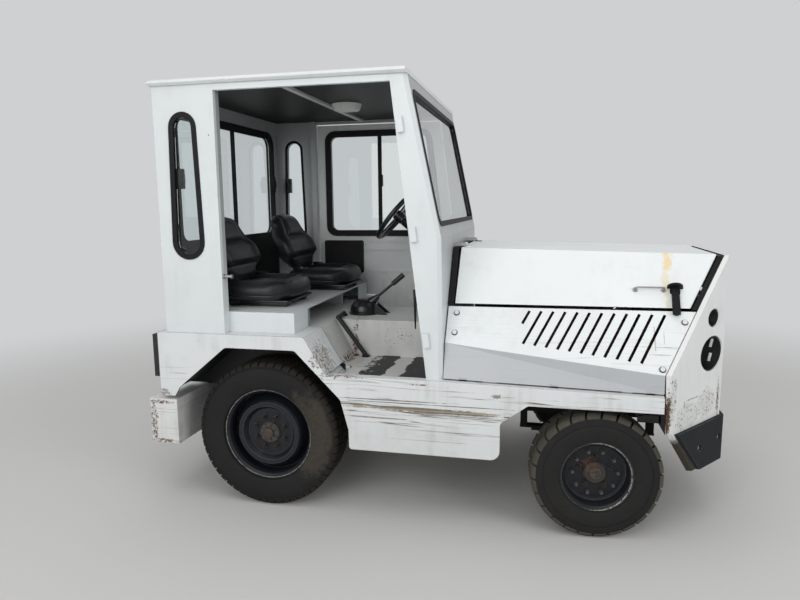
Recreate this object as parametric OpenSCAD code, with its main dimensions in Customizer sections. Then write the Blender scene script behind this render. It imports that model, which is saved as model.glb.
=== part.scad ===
// Airport baggage tug: a small two-seat towing tractor with a sheet steel cab.
// Millimetres. X points forward, Y to the tug's left and Z up from the ground.
// Lengths along the tug are measured from the rear axle, and on_tug() moves them so that
// the origin lies under the middle of the whole machine.

/* [Chassis] */
// Distance between the two axles
wheelbase = 1605; // [1560:5:1700]
// Rear axle to the back face of the rear bumper
rear_overhang = 650; // [600:10:720]
// Front axle to the flat middle of the nose
front_overhang = 626; // [580:2:680]
// Width over the side plates
body_w = 1500; // [1440:10:1600]
// Height of the chassis rails' lower face
rail_z = 450; // [440:5:470]
// Height of a chassis rail
rail_h = 110; // [90:5:120]
// Width of a chassis rail
rail_w = 60; // [45:5:70]
// Centreline of the tug to the inner face of a rail
rail_inside = 230; // [220:5:240]

/* [Rear wheels] */
// Outer diameter of a rear tyre
rear_tyre_d = 760; // [720:5:780]
// Section width of a rear tyre
rear_tyre_w = 236; // [200:2:240]
// Bead seat diameter of a rear rim
rear_rim_d = 444; // [430:2:460]
// Width of a rear rim over its flanges
rear_rim_w = 190; // [180:2:196]
// Centreline of the tug to the middle of a rear tyre
rear_track_half = 620; // [610:5:630]

/* [Front wheels] */
// Outer diameter of a front tyre
front_tyre_d = 600; // [570:5:610]
// Section width of a front tyre
front_tyre_w = 190; // [176:2:200]
// Bead seat diameter of a front rim
front_rim_d = 300; // [292:2:310]
// Width of a front rim over its flanges
front_rim_w = 170; // [156:2:172]
// Centreline of the tug to the middle of a front tyre
front_track_half = 650; // [620:5:660]
// Centreline of the tug to a kingpin
kingpin_y = 470; // [460:5:480]
// Diameter of a kingpin
kingpin_d = 28; // [24:1:32]
// How far the wheels stand turned to the left at rest, in degrees
steer_rest = 6; // [0:1:10]
// Kingpin to the tie rod's pin
steer_arm = 120; // [110:5:130]

/* [Side plates] */
// Thickness of the side plates and wheel housings
plate_t = 8; // [6:1:10]
// How far the rear wheel housings rise over the tyres' tops
fender_rise = 145; // [130:5:170]
// Height of the sills
sill_z = 720; // [710:5:730]
// How much lower the sills are at the nose
sill_drop = 22; // [10:1:30]
// Lower edge of the sills over the front wheels
sill_low_z = 623; // [618:1:640]
// Lower edge of the skirts between the wheels
skirt_z = 348; // [320:5:380]
// Width of the sills' folded edges
sill_w = 42; // [36:2:60]

/* [Cab] */
// Rear axle back to the cab's rear face
cab_rear = 535; // [520:5:550]
// Depth of the posts behind the door openings
post_t = 56; // [40:2:70]
// Thickness of the cab's walls and door
wall_t = 30; // [24:1:36]
// Height of the roof's underside
eave_z = 2131; // [2080:5:2160]
// Thickness of the roof and its rim
roof_t = 31; // [26:1:40]
// How far the roof's rim stands out
roof_lip = 20; // [12:1:24]
// Height of the floor
floor_z = 700; // [690:5:705]
// Front of the roof, from the rear axle
roof_front = 750; // [720:5:770]
// Front face of the cab at the foot of the windscreen, from the rear axle
cowl_x = 905; // [895:1:910]
// Height of the foot of the windscreen
cowl_z = 1391; // [1380:1:1400]
// Front face of the cab at the sills, from the rear axle
toe_x = 914; // [910:1:920]
// Front edge of the quarter panels, from the rear axle
door_rear = -205; // [-230:5:-190]
// Roof's underside down to the door openings
head_drop = 31; // [25:1:60]
// Gap between the door and its opening
door_gap = 8; // [7:1:10]
// Width of the black window rubbers
rubber_w = 26; // [20:1:30]
// Thickness of the window glass
glass_t = 5; // [4:1:8]

/* [Hood] */
// Height of the hood at the cab
hood_z = 1323; // [1310:1:1340]
// Slope of the hood towards the nose, in degrees
hood_slope = 1.17; // [0.5:0.1:2]
// Half the width of the hood's flat top
hood_half_w = 340; // [320:5:350]
// Lean of the hood's sides from upright, in degrees
side_lean = 36.7; // [35:0.5:38]
// Height of the joint between the lid and the side panels
seam_z = 1054; // [1020:2:1080]
// Width of the joint between the lid and the side panels
seam_gap = 14; // [8:1:18]
// Width of the gap between the lid and the nose
lid_gap = 36; // [20:1:44]
// Thickness of the hood's sheet metal
sheet_t = 5; // [4:0.5:6]
// Height of the fold in the side panels at the cab
crease_rear_z = 888; // [870:2:900]
// Height of the fold in the side panels at the nose
crease_front_z = 790; // [780:2:800]
// Number of louvre slots in each side panel
slots = 12; // [8:1:13]
// Distance between two slots
slot_pitch = 55.6; // [50:0.2:56]
// Width of a slot
slot_w = 13; // [8:1:16]

/* [Nose] */
// Sweep of the nose's outer plates from square, in degrees
sweep = 38.2; // [36:0.2:42]
// Thickness of the nose plate
nose_t = 8; // [6:1:10]
// Depth of the flange round the nose
flange = 25; // [18:1:30]
// Lower edge of the nose and its bumper
nose_low_z = 284; // [270:2:300]
// Top of the black bumper pad
pad_top_z = 510; // [490:2:530]
// Thickness of the bumper pad
pad_t = 20; // [14:1:30]
// Diameter of a headlamp opening
headlamp_d = 168; // [140:2:176]
// Height of the headlamps
headlamp_z = 836; // [820:1:850]
// Diameter of an indicator opening
indicator_d = 86; // [70:2:90]
// Height of the indicators
indicator_z = 1007; // [990:1:1020]
// Centreline of the tug to the lamps
lamp_y = 436; // [425:1:445]

/* [Towing] */
// Depth of the rear bumper beam
beam_d = 160; // [130:5:170]
// Lower edge of the rear bumper beam
beam_z = 303; // [290:1:320]
// Height of the rear bumper beam
beam_h = 244; // [220:2:246]
// Diameter of the hitch pin
pin_d = 30; // [25:1:32]
// Back face of the bumper to the hitch pin
hitch_reach = 55; // [50:1:70]
// Clear height of the hitch's mouth
hitch_mouth = 70; // [50:2:80]

/* [Seats and controls] */
// Centreline of the tug to the middle of a seat
seat_y = 340; // [320:5:360]
// Width of a seat
seat_w = 480; // [440:5:500]
// Height of the deck under the seats
deck_z = 1010; // [990:5:1020]
// Front edge of the seat deck, from the rear axle
deck_front = 150; // [120:5:170]
// Front of the left seat's cushion, from the rear axle
left_seat_x = 190; // [150:5:210]
// Front of the right seat's cushion, from the rear axle
right_seat_x = 90; // [80:5:160]
// Diameter of the steering wheel
steering_d = 390; // [360:5:400]
// Thickness of the steering wheel's rim
rim_bar = 29; // [22:1:34]
// Height of the steering wheel's hub
steering_z = 1480; // [1460:5:1500]
// Steering wheel's hub, from the rear axle
steering_x = 455; // [440:5:470]
// Slope of the steering column from level, in degrees
column_slope = 40; // [35:1:45]

/* [Hidden] */

white = "#dfe4e6";
black = "#1c1d1f";
rubber = "#2b2a29";
steel = "#5b5d60";
glass = "#b9c6c8";
red = "#9c2a22";

seat_gap = 0.3;      // between pieces that seat in each other
run_gap = 0.1;       // between a turning pin and its bore
skin_gap = 3;        // between two sheet metal pieces
cut = 1;             // how far a cut runs past a face

body_half = body_w / 2;
fender_z = rear_tyre_d + fender_rise;
cab_inset = 20;              // how far the cab stands in from the side plates
cab_half_w = body_half - cab_inset;
door_top_z = eave_z - head_drop;
plate_in = body_half - plate_t;
nose_x = wheelbase + front_overhang;
rail_out = rail_inside + rail_w;
rail_top = rail_z + rail_h;
hitch_r = 50;
rear_end = rear_overhang + hitch_reach + hitch_r;
middle_x = (nose_x + pad_t - rear_end) / 2;
rear_wheel_z = rear_tyre_d / 2;
front_wheel_z = front_tyre_d / 2;

nose_half = 340;             // half width of the nose's flat middle
nose_side = body_half - 29;  // half width of the nose at its widest
sweep_run = tan(sweep);

module on_tug() { translate([-middle_x, 0, 0]) children(); }
module both_sides() { children(); mirror([0, 1, 0]) children(); }
// An X, Z outline made into a plate between two Y values
module side_plate(points, y0, y1) {
    translate([0, y1, 0]) rotate([90, 0, 0]) linear_extrude(y1 - y0) polygon(points);
}
// A Y, Z outline made into a plate between two X values
module cross_plate(points, x0, x1) {
    translate([x0, 0, 0]) rotate([90, 0, 90]) linear_extrude(x1 - x0) polygon(points);
}
// A box given by its low and high corners
module box(low, high) { translate(low) cube(high - low); }
// A round bar from the left to the right along Y
module cross_bar(d, y0, y1, x, z) {
    translate([x, y0, z]) rotate([-90, 0, 0]) cylinder(d = d, h = y1 - y0, $fn = 48);
}

function unit(v) = v / norm(v);
// Chords of the arc that rounds corner b between a and c with radius r
function corner(a, b, c, r, n) =
    let (u = unit(a - b), v = unit(c - b), half = acos(u * v) / 2,
         centre = b + unit(u + v) * r / sin(half),
         s = b + u * r / tan(half) - centre, e = b + v * r / tan(half) - centre,
         a0 = atan2(s.y, s.x), turn = atan2(e.y, e.x) - a0,
         swing = turn > 180 ? turn - 360 : turn < -180 ? turn + 360 : turn)
    [for (i = [0:n]) centre + r * [cos(a0 + swing * i / n), sin(a0 + swing * i / n)]];
// An outline whose points are [x, z, radius], with its corners rounded
function rounded(p, n = 5) =
    [for (i = [0:len(p) - 1])
        let (a = p[(i + len(p) - 1) % len(p)], b = p[i], c = p[(i + 1) % len(p)])
        each (b[2] > 0 ? corner([a[0], a[1]], [b[0], b[1]], [c[0], c[1]], b[2], n)
                       : [[b[0], b[1]]])];
// A rounded rectangle between two corners
function window(low, high, r) =
    rounded([[low.x, low.y, r], [high.x, low.y, r], [high.x, high.y, r], [low.x, high.y, r]]);
// An open path moved sideways to its left by d
function side_path(p, d) =
    [for (i = [0:len(p) - 1])
        let (u = unit(p[i] - p[max(i - 1, 0)] + (i == 0 ? p[1] - p[0] : [0, 0])),
             v = i == len(p) - 1 ? u : unit(p[i + 1] - p[i]),
             n = unit([-u.y - v.y, u.x + v.x]), k = n * [-v.y, v.x])
        p[i] + n * d / k];
function reversed(p) = [for (i = [len(p) - 1:-1:0]) p[i]];
// A strip of thickness d along the left of an open path
function strip(p, d) = concat(p, reversed(side_path(p, d)));

// Wheels. Their profiles are [radius, distance outwards from the tyre's middle].
rear_hub_r = 55;
rear_hub_in = 50;
front_hub_r = 52;
front_hub_in = 36;
rear_bore_d = 60;
front_bore_d = 44;
bore_end = 20;               // bores end this far outside the tyre's middle
rim_t = 8;
bead_lip = 14;
// Nut circles are [circle's radius, nut diameter, height, count, first nut's angle]
rear_nuts = [83, 24, 18, 8, 22.5];
front_nuts = [74, 22, 16, 5, 18];
front_ring = [104, 16, 12, 10, 0];
hub_lobes = [38, 19, 7, 8, 0];

module wheel_profile(points) { rotate_extrude($fn = 96) polygon(points); }
module facing(side) { rotate([-90 * side, 0, 0]) children(); }
// Adds the same path mirrored about the wheel's middle plane, to close an outline
function mirrored(p) = concat(p, reversed([for (q = p) [q.x, -q.y]]));
// Seat and flared flange that tyre and rim share, gap being the tyre's clearance
function bead_path(rim_d, rim_w, gap) = [for (p = [[0, 24], [3, 14], [bead_lip, 7]])
    [rim_d / 2 + p.x + gap, rim_w / 2 - p.y - gap]];

module rim_barrel(d, w) {
    wheel_profile(mirrored(concat(bead_path(d, w, 0), [[d / 2 + bead_lip, w / 2],
        [d / 2 + bead_lip - 5, w / 2], [d / 2 - 2, w / 2 - 12], [d / 2 - rim_t, w / 2 - 30]])));
}
module nut_ring(nuts, z) {
    for (i = [0:nuts[3] - 1]) rotate([0, 0, nuts[4] + i * 360 / nuts[3]])
        translate([nuts[0], 0, z - 2]) cylinder(d = nuts[1], h = nuts[2] + 2, $fn = 24);
}

rear_face = 55;              // nut face of the rear disc
rear_crest = 84;             // crest of the ring pressed into the disc round the nuts
disc_t = 10;
module rear_rim() {
    wall = rear_rim_d / 2 - rim_t / 2;
    front = [[rear_hub_r - 5, rear_face], [124, rear_face], [144, rear_crest],
        [165, rear_crest], [175, rear_crest - 12], [200, 22], [wall, 10]];
    back = [[wall, 0], [193, 12], [164, rear_crest - disc_t - 8], [158, rear_crest - disc_t],
        [151, rear_crest - disc_t], [132, rear_face - disc_t], [rear_hub_r - 5, rear_face - disc_t]];
    difference() {
        union() {
            rim_barrel(rear_rim_d, rear_rim_w);
            wheel_profile(concat(front, back));
            wheel_profile([[0, -rear_hub_in], [rear_hub_r, -rear_hub_in], [rear_hub_r, 68],
                [rear_hub_r - 4, 72], [26, 72], [26, 88], [20, 92], [0, 92]]);
            nut_ring(rear_nuts, rear_face);
            nut_ring(hub_lobes, 72);
        }
        translate([0, 0, -rear_hub_in - cut])
            cylinder(d = rear_bore_d, h = rear_hub_in + bore_end, $fn = 64);
    }
}

front_face = 18;
module front_rim() {
    wall = front_rim_d / 2 - rim_t / 2;
    difference() {
        union() {
            rim_barrel(front_rim_d, front_rim_w);
            wheel_profile([[front_hub_r - 4, front_face - disc_t], [wall, front_face - disc_t],
                [wall, front_face + 4], [wall - 16, front_face], [front_hub_r - 4, front_face]]);
            wheel_profile([[0, -front_hub_in], [front_hub_r, -front_hub_in], [front_hub_r, 34],
                [front_hub_r - 7, 40], [24, 40], [24, 50], [0, 50]]);
            nut_ring(front_nuts, front_face);
            nut_ring(front_ring, front_face);
        }
        translate([0, 0, -front_hub_in - cut])
            cylinder(d = front_bore_d, h = front_hub_in + bore_end, $fn = 64);
    }
}

// Tyre section with a flat tread, round shoulders and beads that sit on the rim
module tyre(d, w, rim_d, rim_w) {
    r = d / 2;
    lip = rim_d / 2 + bead_lip;
    wheel_profile(mirrored(concat(bead_path(rim_d, rim_w, seat_gap), [[lip + 6, w / 2 - 8],
        [(r + lip) / 2, w / 2], [r - 34, w / 2 - 5], [r - 8, w / 2 - 14], [r, w / 2 - 28]])));
}

module at_rear_wheel(side) {
    on_tug() translate([0, side * rear_track_half, rear_wheel_z]) facing(side) children();
}
// Pieces on a front knuckle turn about its kingpin
module at_kingpin(side) {
    on_tug() translate([wheelbase, side * kingpin_y, 0]) rotate([0, 0, steer_rest]) children();
}
module at_front_wheel(side) {
    at_kingpin(side) translate([0, side * (front_track_half - kingpin_y), front_wheel_z])
        facing(side) children();
}

module rim_rear_left() { color(black) at_rear_wheel(1) rear_rim(); }
module rim_rear_right() { color(black) at_rear_wheel(-1) rear_rim(); }
module rim_front_left() { color(black) at_front_wheel(1) front_rim(); }
module rim_front_right() { color(black) at_front_wheel(-1) front_rim(); }
module tyre_rear_left() {
    color(rubber) at_rear_wheel(1) tyre(rear_tyre_d, rear_tyre_w, rear_rim_d, rear_rim_w);
}
module tyre_rear_right() {
    color(rubber) at_rear_wheel(-1) tyre(rear_tyre_d, rear_tyre_w, rear_rim_d, rear_rim_w);
}
module tyre_front_left() {
    color(rubber) at_front_wheel(1) tyre(front_tyre_d, front_tyre_w, front_rim_d, front_rim_w);
}
module tyre_front_right() {
    color(rubber) at_front_wheel(-1) tyre(front_tyre_d, front_tyre_w, front_rim_d, front_rim_w);
}

// Axles and steering
eye_t = 20;
boss_h = 70;
boss_gap = 1;
boss_r = 32;
tie_z = front_wheel_z - boss_h / 2 - boss_gap - eye_t;
tie_d = 26;
tie_pin_d = 16;

axle_tube_d = 86;
axle_case_r = 120;
axle_case_w = 190;
module rear_axle() {
    color(black) on_tug() {
        tube_end = rear_track_half - rear_hub_in - 6;
        cross_bar(axle_tube_d, -tube_end, tube_end, 0, rear_wheel_z);
        both_sides() cross_bar(rear_bore_d - 2 * run_gap, tube_end - 20, rear_track_half + 12,
            0, rear_wheel_z);
        translate([0, 0, rear_wheel_z]) rotate([90, 0, 90])
            cylinder(r = axle_case_r, h = axle_case_w, center = true, $fn = 64);
        both_sides() box([-60, rail_inside, rear_wheel_z - 30], [60, rail_out, rail_z]);
    }
}

module front_axle() {
    color(black) on_tug() translate([wheelbase, 0, front_wheel_z]) difference() {
        union() {
            box([-30, -kingpin_y, -30], [30, kingpin_y, 30]);
            both_sides() translate([0, kingpin_y, -boss_h / 2])
                cylinder(r = boss_r, h = boss_h, $fn = 64);
        }
        both_sides() translate([0, kingpin_y, -boss_h / 2 - cut])
            cylinder(d = kingpin_d + 2 * run_gap, h = boss_h + 2 * cut, $fn = 64);
    }
}

// Leaves are [length, height of the underside above the axle beam]
leaves = [[440, 0], [560, 13], [680, 26]];
leaf_t = 12;
module front_springs() {
    color(black) on_tug() both_sides() translate([wheelbase, 0, front_wheel_z + 30]) {
        y = rail_inside + rail_w / 2;
        for (leaf = leaves)
            box([-leaf[0] / 2, y - 25, leaf[1]], [leaf[0] / 2, y + 25, leaf[1] + leaf_t]);
        box([-45, y - 25, 0], [45, y + 25, leaves[2][1] + leaf_t + 12]);
        for (x = [-1, 1])
            box([x * 320 - 18, y - 22, leaves[2][1]], [x * 320 + 18, y + 22,
                rail_z - front_wheel_z - 30]);
    }
}

module knuckle(side) {
    color(black) at_kingpin(side) translate([0, 0, front_wheel_z]) mirror([0, side < 0 ? 1 : 0, 0]) {
        h = boss_h / 2 + boss_gap;
        for (z = [h, -h - eye_t]) translate([0, 0, z]) {
            cylinder(r = boss_r - 2, h = eye_t, $fn = 64);
            box([-26, 0, 0], [26, 56, eye_t]);
        }
        translate([0, 0, -h - eye_t]) cylinder(d = kingpin_d, h = 2 * (h + eye_t), $fn = 64);
        box([-26, 38, -h - eye_t], [26, 56, h + eye_t]);
        cross_bar(front_bore_d - 2 * run_gap, 50, front_track_half - kingpin_y + bore_end - 6, 0, 0);
        cross_bar(90, 50, front_track_half - kingpin_y - front_hub_in - 6, 0, 0);
        difference() {
            union() {
                box([-steer_arm, -18, -h - eye_t], [0, 18, -h]);
                translate([-steer_arm, 0, -h - eye_t]) cylinder(r = 18, h = eye_t, $fn = 48);
            }
            translate([-steer_arm, 0, -h - eye_t - cut])
                cylinder(d = tie_pin_d + 2 * run_gap, h = eye_t + 2 * cut, $fn = 48);
        }
    }
}
module knuckle_left() { knuckle(1); }
module knuckle_right() { knuckle(-1); }

module tie_rod() {
    x = wheelbase - steer_arm * cos(steer_rest);
    shift = -steer_arm * sin(steer_rest);
    color(steel) on_tug() translate([x, shift, tie_z]) {
        cross_bar(tie_d, -kingpin_y, kingpin_y, 0, -tie_d / 2 - 3);
        both_sides() translate([0, kingpin_y, -tie_d - 5]) {
            cylinder(r = 18, h = tie_d + 4, $fn = 48);
            cylinder(d = tie_pin_d, h = tie_d + 5 + eye_t + 6, $fn = 48);
        }
    }
}

// Chassis: two rails, cross members between them and bearers under the body
front_rail_end = nose_x - nose_t - seat_gap;
rear_rail_end = -rear_overhang + beam_d;
// Cross members are [x of the rear face, length along X]
members = [[-440, 60], [260, 60], [toe_x + 46, 60], [nose_x - 171, 60]];
// Bearers are [x of the rear face, length along X, half width]
bearers = [[-470, 50, 470], [430, 50, plate_in], [toe_x - 94, 50, plate_in],
    [nose_x - 281, 50, 560]];
bearer_top = floor_z - plate_t;
module chassis() {
    color(black) on_tug() {
        both_sides() box([rear_rail_end, rail_inside, rail_z],
            [front_rail_end, rail_out, rail_top]);
        for (m = members) box([m[0], -rail_inside, rail_z + 10],
            [m[0] + m[1], rail_inside, rail_top - 10]);
        for (b = bearers) box([b[0], -b[2], rail_top],
            [b[0] + b[1], b[2], b[0] > wheelbase ? sill_low_z + 20 : bearer_top]);
    }
}

// Engine with its sump, rocker cover, air filter, clutch housing, fan and radiator
engine_x = [toe_x + 216, wheelbase + 175];
engine_half = 170;
engine_z = [540, 940];
cover_half = 95;             // half width of the rocker cover
crank_z = 700;
pulley_r = 80;
fan_x = 54;                  // engine's front face to the fan
fan_r = 190;
fan_hub_r = 50;
blade_half = 22;
filter_r = 72;
filter_len = 260;
radiator_x = engine_x[1] + 86;
radiator_half = 260;
core_t = 62;
core_h = 400;
tank_h = 44;
tank_lip = 14;
cap_r = 24;
module engine_block() {
    mid = (engine_x[0] + engine_x[1]) / 2;
    color(steel) on_tug() {
        box([engine_x[0], -engine_half, engine_z[0]], [engine_x[1], engine_half, engine_z[1]]);
        box([engine_x[0] + 40, -engine_half + 30, engine_z[0] - 70],
            [engine_x[1] - 60, engine_half - 30, engine_z[0]]);
        side_plate(window([engine_x[0] + 30, engine_z[1] - 40], [engine_x[1] - 50, engine_z[1] + 110], 30),
            -cover_half, cover_half);
        // clutch housing towards the cab, then the pulley and the fan
        translate([engine_x[0] - 90, 0, crank_z]) rotate([0, 90, 0])
            cylinder(r1 = 110, r2 = 150, h = 91, $fn = 48);
        translate([engine_x[1] - cut, 0, crank_z]) rotate([0, 90, 0])
            cylinder(r = pulley_r, h = fan_x - 4, $fn = 48);
        translate([engine_x[1] - cut, 0, crank_z + pulley_r + fan_hub_r + 20]) rotate([0, 90, 0]) {
            cylinder(r = fan_hub_r, h = fan_x + 15, $fn = 48);
            for (i = [0:5]) rotate([0, 0, i * 60])
                box([fan_hub_r / 2, -blade_half, fan_x], [fan_r, blade_half, fan_x + 9]);
        }
        // manifold and air filter on the right
        box([engine_x[0] + 90, -engine_half - 60, engine_z[1] - 120],
            [engine_x[1] - 120, -engine_half, engine_z[1] - 60]);
        translate([mid - filter_len / 2, -engine_half - 10, engine_z[1] + 40]) rotate([0, 90, 0])
            cylinder(r = filter_r, h = filter_len, $fn = 48);
        box([mid - 30, -engine_half - 40, engine_z[1] - 80],
            [mid + 30, -engine_half + 20, engine_z[1] + 10]);
        // feet on the chassis rails
        for (x = [engine_x[0] + 60, engine_x[1] - 140]) both_sides()
            box([x, engine_half - cut, engine_z[0] + 2], [x + 80, rail_inside, rail_top - 4]);
    }
}
module radiator() {
    color(steel) on_tug() {
        box([radiator_x, -radiator_half, rail_top],
            [radiator_x + core_t, radiator_half, rail_top + core_h]);
        for (z = [rail_top, rail_top + core_h - 30])
            box([radiator_x - tank_lip, -radiator_half - tank_lip, z],
                [radiator_x + core_t + tank_lip, radiator_half + tank_lip, z + tank_h]);
        translate([radiator_x + core_t / 2, -radiator_half / 2, rail_top + core_h])
            cylinder(r = cap_r, h = tank_h, $fn = 32);
    }
}

// Side plates with the wheel housings, sills and skirts
fender_rear = rear_tyre_d / 2 + 200;
fender_low_z = 565;
fender_front = rear_tyre_d / 2 - 155;
fender_foot = rear_tyre_d / 2 - 46;
housing_y = 480;
// The wheel opening from the rear to the front, [x, z]
arch_r = rear_tyre_d / 2 + 28;       // rear axle to the front of the wheel opening
arch_top = fender_z - 70;
arch = [[-arch_r - 59, 615], [24 - fender_front, arch_top], [fender_front - 50, arch_top],
    [arch_r, 598], [arch_r + 40, 447]];
// Front of the skirt: x at the sill, x and z below
brow = [wheelbase - 290, wheelbase - 416, 530];

function fender_outline() = rounded([
    [-fender_rear, fender_low_z, 25], [arch[0].x - 30, fender_low_z, 10],
    [arch[0].x, arch[0].y, 15], [arch[1].x, arch[1].y, 30], [arch[2].x, arch[2].y, 30],
    [arch[3].x, arch[3].y, 30], [arch[4].x, arch[4].y, 20], [arch[4].x + 2, skirt_z, 15],
    [brow[1], skirt_z, 45], [brow[1], brow[2], 25], [brow[0], sill_low_z, 15],
    [fold_end, sill_low_z, 0], [fold_end, sill_z - sill_drop, 6],
    [toe_x, sill_z, 0], [fender_foot, sill_z, 20], [fender_front, fender_z, 20],
    [-fender_rear, fender_z, 10]]);
fold_end = nose_at(nose_side) - flange - skin_gap;    // front of the sill's folded edges

module fender() {
    side_plate(fender_outline(), plate_in, body_half);
    // top of the housing and the slope in front of it
    side_plate(strip([[-fender_rear, fender_z - plate_t], [fender_front - 5, fender_z - plate_t],
        [fender_foot - 5, sill_z - plate_t]], plate_t - 0.5), housing_y, plate_in);
    // roof of the wheel opening
    side_plate(strip([for (p = arch) [p.x, p.y + (p.y > 500 ? 6 : 0)]], plate_t),
        housing_y, plate_in);
    // inner wall and rear wall of the housing
    difference() {
        box([-fender_rear, housing_y - plate_t, fender_low_z],
            [fender_foot + 60, housing_y, fender_z]);
        side_plate([[fender_front, fender_z + cut],
            [fender_foot, sill_z], [fender_foot + 60 + cut, bearer_top],
            [fender_foot + 60 + cut, fender_z + cut]], housing_y - plate_t - cut, housing_y + cut);
    }
    box([-fender_rear, housing_y, fender_low_z], [-fender_rear + plate_t, plate_in, fender_z]);
    // folded edges of the sill
    side_plate([[fender_foot + 4, sill_z - plate_t], [toe_x, sill_z - plate_t],
        [fold_end, sill_z - sill_drop - plate_t], [fold_end, sill_z - sill_drop],
        [toe_x, sill_z], [fender_foot + 4, sill_z]], body_half - sill_w, plate_in);
    box([brow[0] + 10, body_half - sill_w, sill_low_z],
        [fold_end, plate_in, sill_low_z + plate_t]);
}
module fender_left() { color(white) on_tug() fender(); }
module fender_right() { color(white) on_tug() mirror([0, 1, 0]) fender(); }

// Rear bumper, hitch and lamps
module rear_bumper() {
    color(white) on_tug() difference() {
        box([-rear_overhang, -body_half, beam_z],
            [-rear_overhang + beam_d, body_half, beam_z + beam_h]);
        box([-rear_overhang + 10, -body_half + 10, beam_z - cut],
            [-rear_overhang + beam_d - 10, body_half - 10, beam_z + beam_h - 10]);
    }
}

hitch_z = beam_z + 130;
hitch_half = 75;
jaw_t = 20;
module tow_hitch() {
    pin_x = -rear_overhang - hitch_reach;
    color(steel) on_tug() difference() {
        union() {
            box([-rear_overhang - 20, -hitch_half, hitch_z - 90],
                [-rear_overhang, hitch_half, hitch_z + 90]);
            for (z = [hitch_z - hitch_mouth / 2 - jaw_t, hitch_z + hitch_mouth / 2]) {
                box([pin_x, -hitch_r, z], [-rear_overhang - 20, hitch_r, z + jaw_t]);
                translate([pin_x, 0, z]) cylinder(r = hitch_r, h = jaw_t, $fn = 64);
            }
        }
        translate([pin_x, 0, hitch_z - 90]) cylinder(d = pin_d + 2, h = 180, $fn = 64);
    }
}

rear_lamp_z = 665;
rear_lamp = [34, 102, 225];  // depth, width and height
module rear_lamps() {
    y = plate_in;
    color(red) on_tug() both_sides() box([-fender_rear - rear_lamp.x, y - rear_lamp.y, rear_lamp_z],
        [-fender_rear, y, rear_lamp_z + rear_lamp.z]);
}

// Cab. The pillar's rear edge is one straight line from the door's top to the sill.
pillar_top_x = 673;
pillar_foot_x = 836;
cab_in = cab_half_w - wall_t;
function pillar_edge(z) = pillar_top_x + (door_top_z - z) * (pillar_foot_x - pillar_top_x)
    / (door_top_z - sill_z);
function screen_x(z) = z > cowl_z
    ? cowl_x - (z - cowl_z) * (cowl_x - roof_front) / (eave_z - cowl_z)
    : toe_x - (z - sill_z) * (toe_x - cowl_x) / (cowl_z - sill_z);
roof_edge_x = screen_x(eave_z);
// Rear face of the cab's front wall, less the seat gap
function inside_x(z) = screen_x(z) - wall_t - seat_gap;

// One line of sheet from the rear wall over the axle, down the slope and along the floor
tunnel_half = 235;
floor_path = [[-cab_rear + wall_t + seat_gap, fender_z - plate_t],
    [fender_front - 5, fender_z - plate_t], [fender_foot - 5, floor_z - plate_t],
    [inside_x(fender_z), floor_z - plate_t]];
module cab_floor() {
    inner = housing_y - plate_t - seat_gap;
    color(white) on_tug() {
        side_plate(strip(floor_path, plate_t), -inner, inner);
        both_sides() box([fender_foot + 62, inner, floor_z - plate_t],
            [floor_path[3].x, plate_in - seat_gap, floor_z]);
        // cover over the gearbox between the two footwells
        difference() {
            box([fender_front - 5, -tunnel_half, floor_z], [floor_path[3].x, tunnel_half, fender_z]);
            box([fender_front - 6, -tunnel_half + plate_t, floor_z - cut],
                [floor_path[3].x + cut, tunnel_half - plate_t, fender_z - plate_t]);
        }
    }
}

module seat_deck() {
    rear = -cab_rear + wall_t + seat_gap;
    side = cab_half_w - post_t - seat_gap;
    color(white) on_tug() {
        box([rear, -side, deck_z - plate_t], [deck_front, side, deck_z]);
        both_sides() {
            box([rear, side - plate_t, fender_z], [deck_front, side, deck_z - plate_t]);
            for (x = [rear, deck_front - plate_t])
                box([x, housing_y, fender_z], [x + plate_t, side - plate_t, deck_z - plate_t]);
            box([rear, 300, fender_z], [deck_front - 60, 300 + plate_t, deck_z - plate_t]);
        }
    }
}

rear_window_low = [130 - cab_half_w, 1340];
rear_window_high = [cab_half_w - 130, eave_z - 111];
module rear_wall() {
    color(white) on_tug() difference() {
        cross_plate([[-cab_in, eave_z], [-cab_in, fender_z], [-housing_y + plate_t, fender_z],
            [-housing_y + plate_t, fender_low_z], [housing_y - plate_t, fender_low_z],
            [housing_y - plate_t, fender_z], [cab_in, fender_z], [cab_in, eave_z]],
            -cab_rear, -cab_rear + wall_t);
        cross_plate(window(rear_window_low, rear_window_high, 80),
            -cab_rear - cut, -cab_rear + wall_t + cut);
    }
}

// Black panel on the rear wall behind the seats
trim_low = [-640, 1055];
trim_high = [640, 1322];
trim_t = 12;
module rear_trim() {
    face = -cab_rear + wall_t + seat_gap;
    color(black) on_tug() cross_plate(window(trim_low, trim_high, 25), face, face + trim_t);
}

// Quarter window: a tapered opening with round ends, in X and Z
quarter_x = -378;
quarter_top = [1931, 67];    // centre height and radius of the upper end
quarter_foot = [1369, 81];
function quarter_outline(inset) =
    let (tilt = asin((quarter_foot[1] - quarter_top[1]) / (quarter_top[0] - quarter_foot[0])))
    concat(
        [for (i = [0:12]) let (a = tilt + (180 - 2 * tilt) * i / 12)
            [quarter_x, quarter_top[0]] + (quarter_top[1] - inset) * [cos(a), sin(a)]],
        [for (i = [0:12]) let (a = 180 - tilt + (180 + 2 * tilt) * i / 12)
            [quarter_x, quarter_foot[0]] + (quarter_foot[1] - inset) * [cos(a), sin(a)]]);

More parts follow.
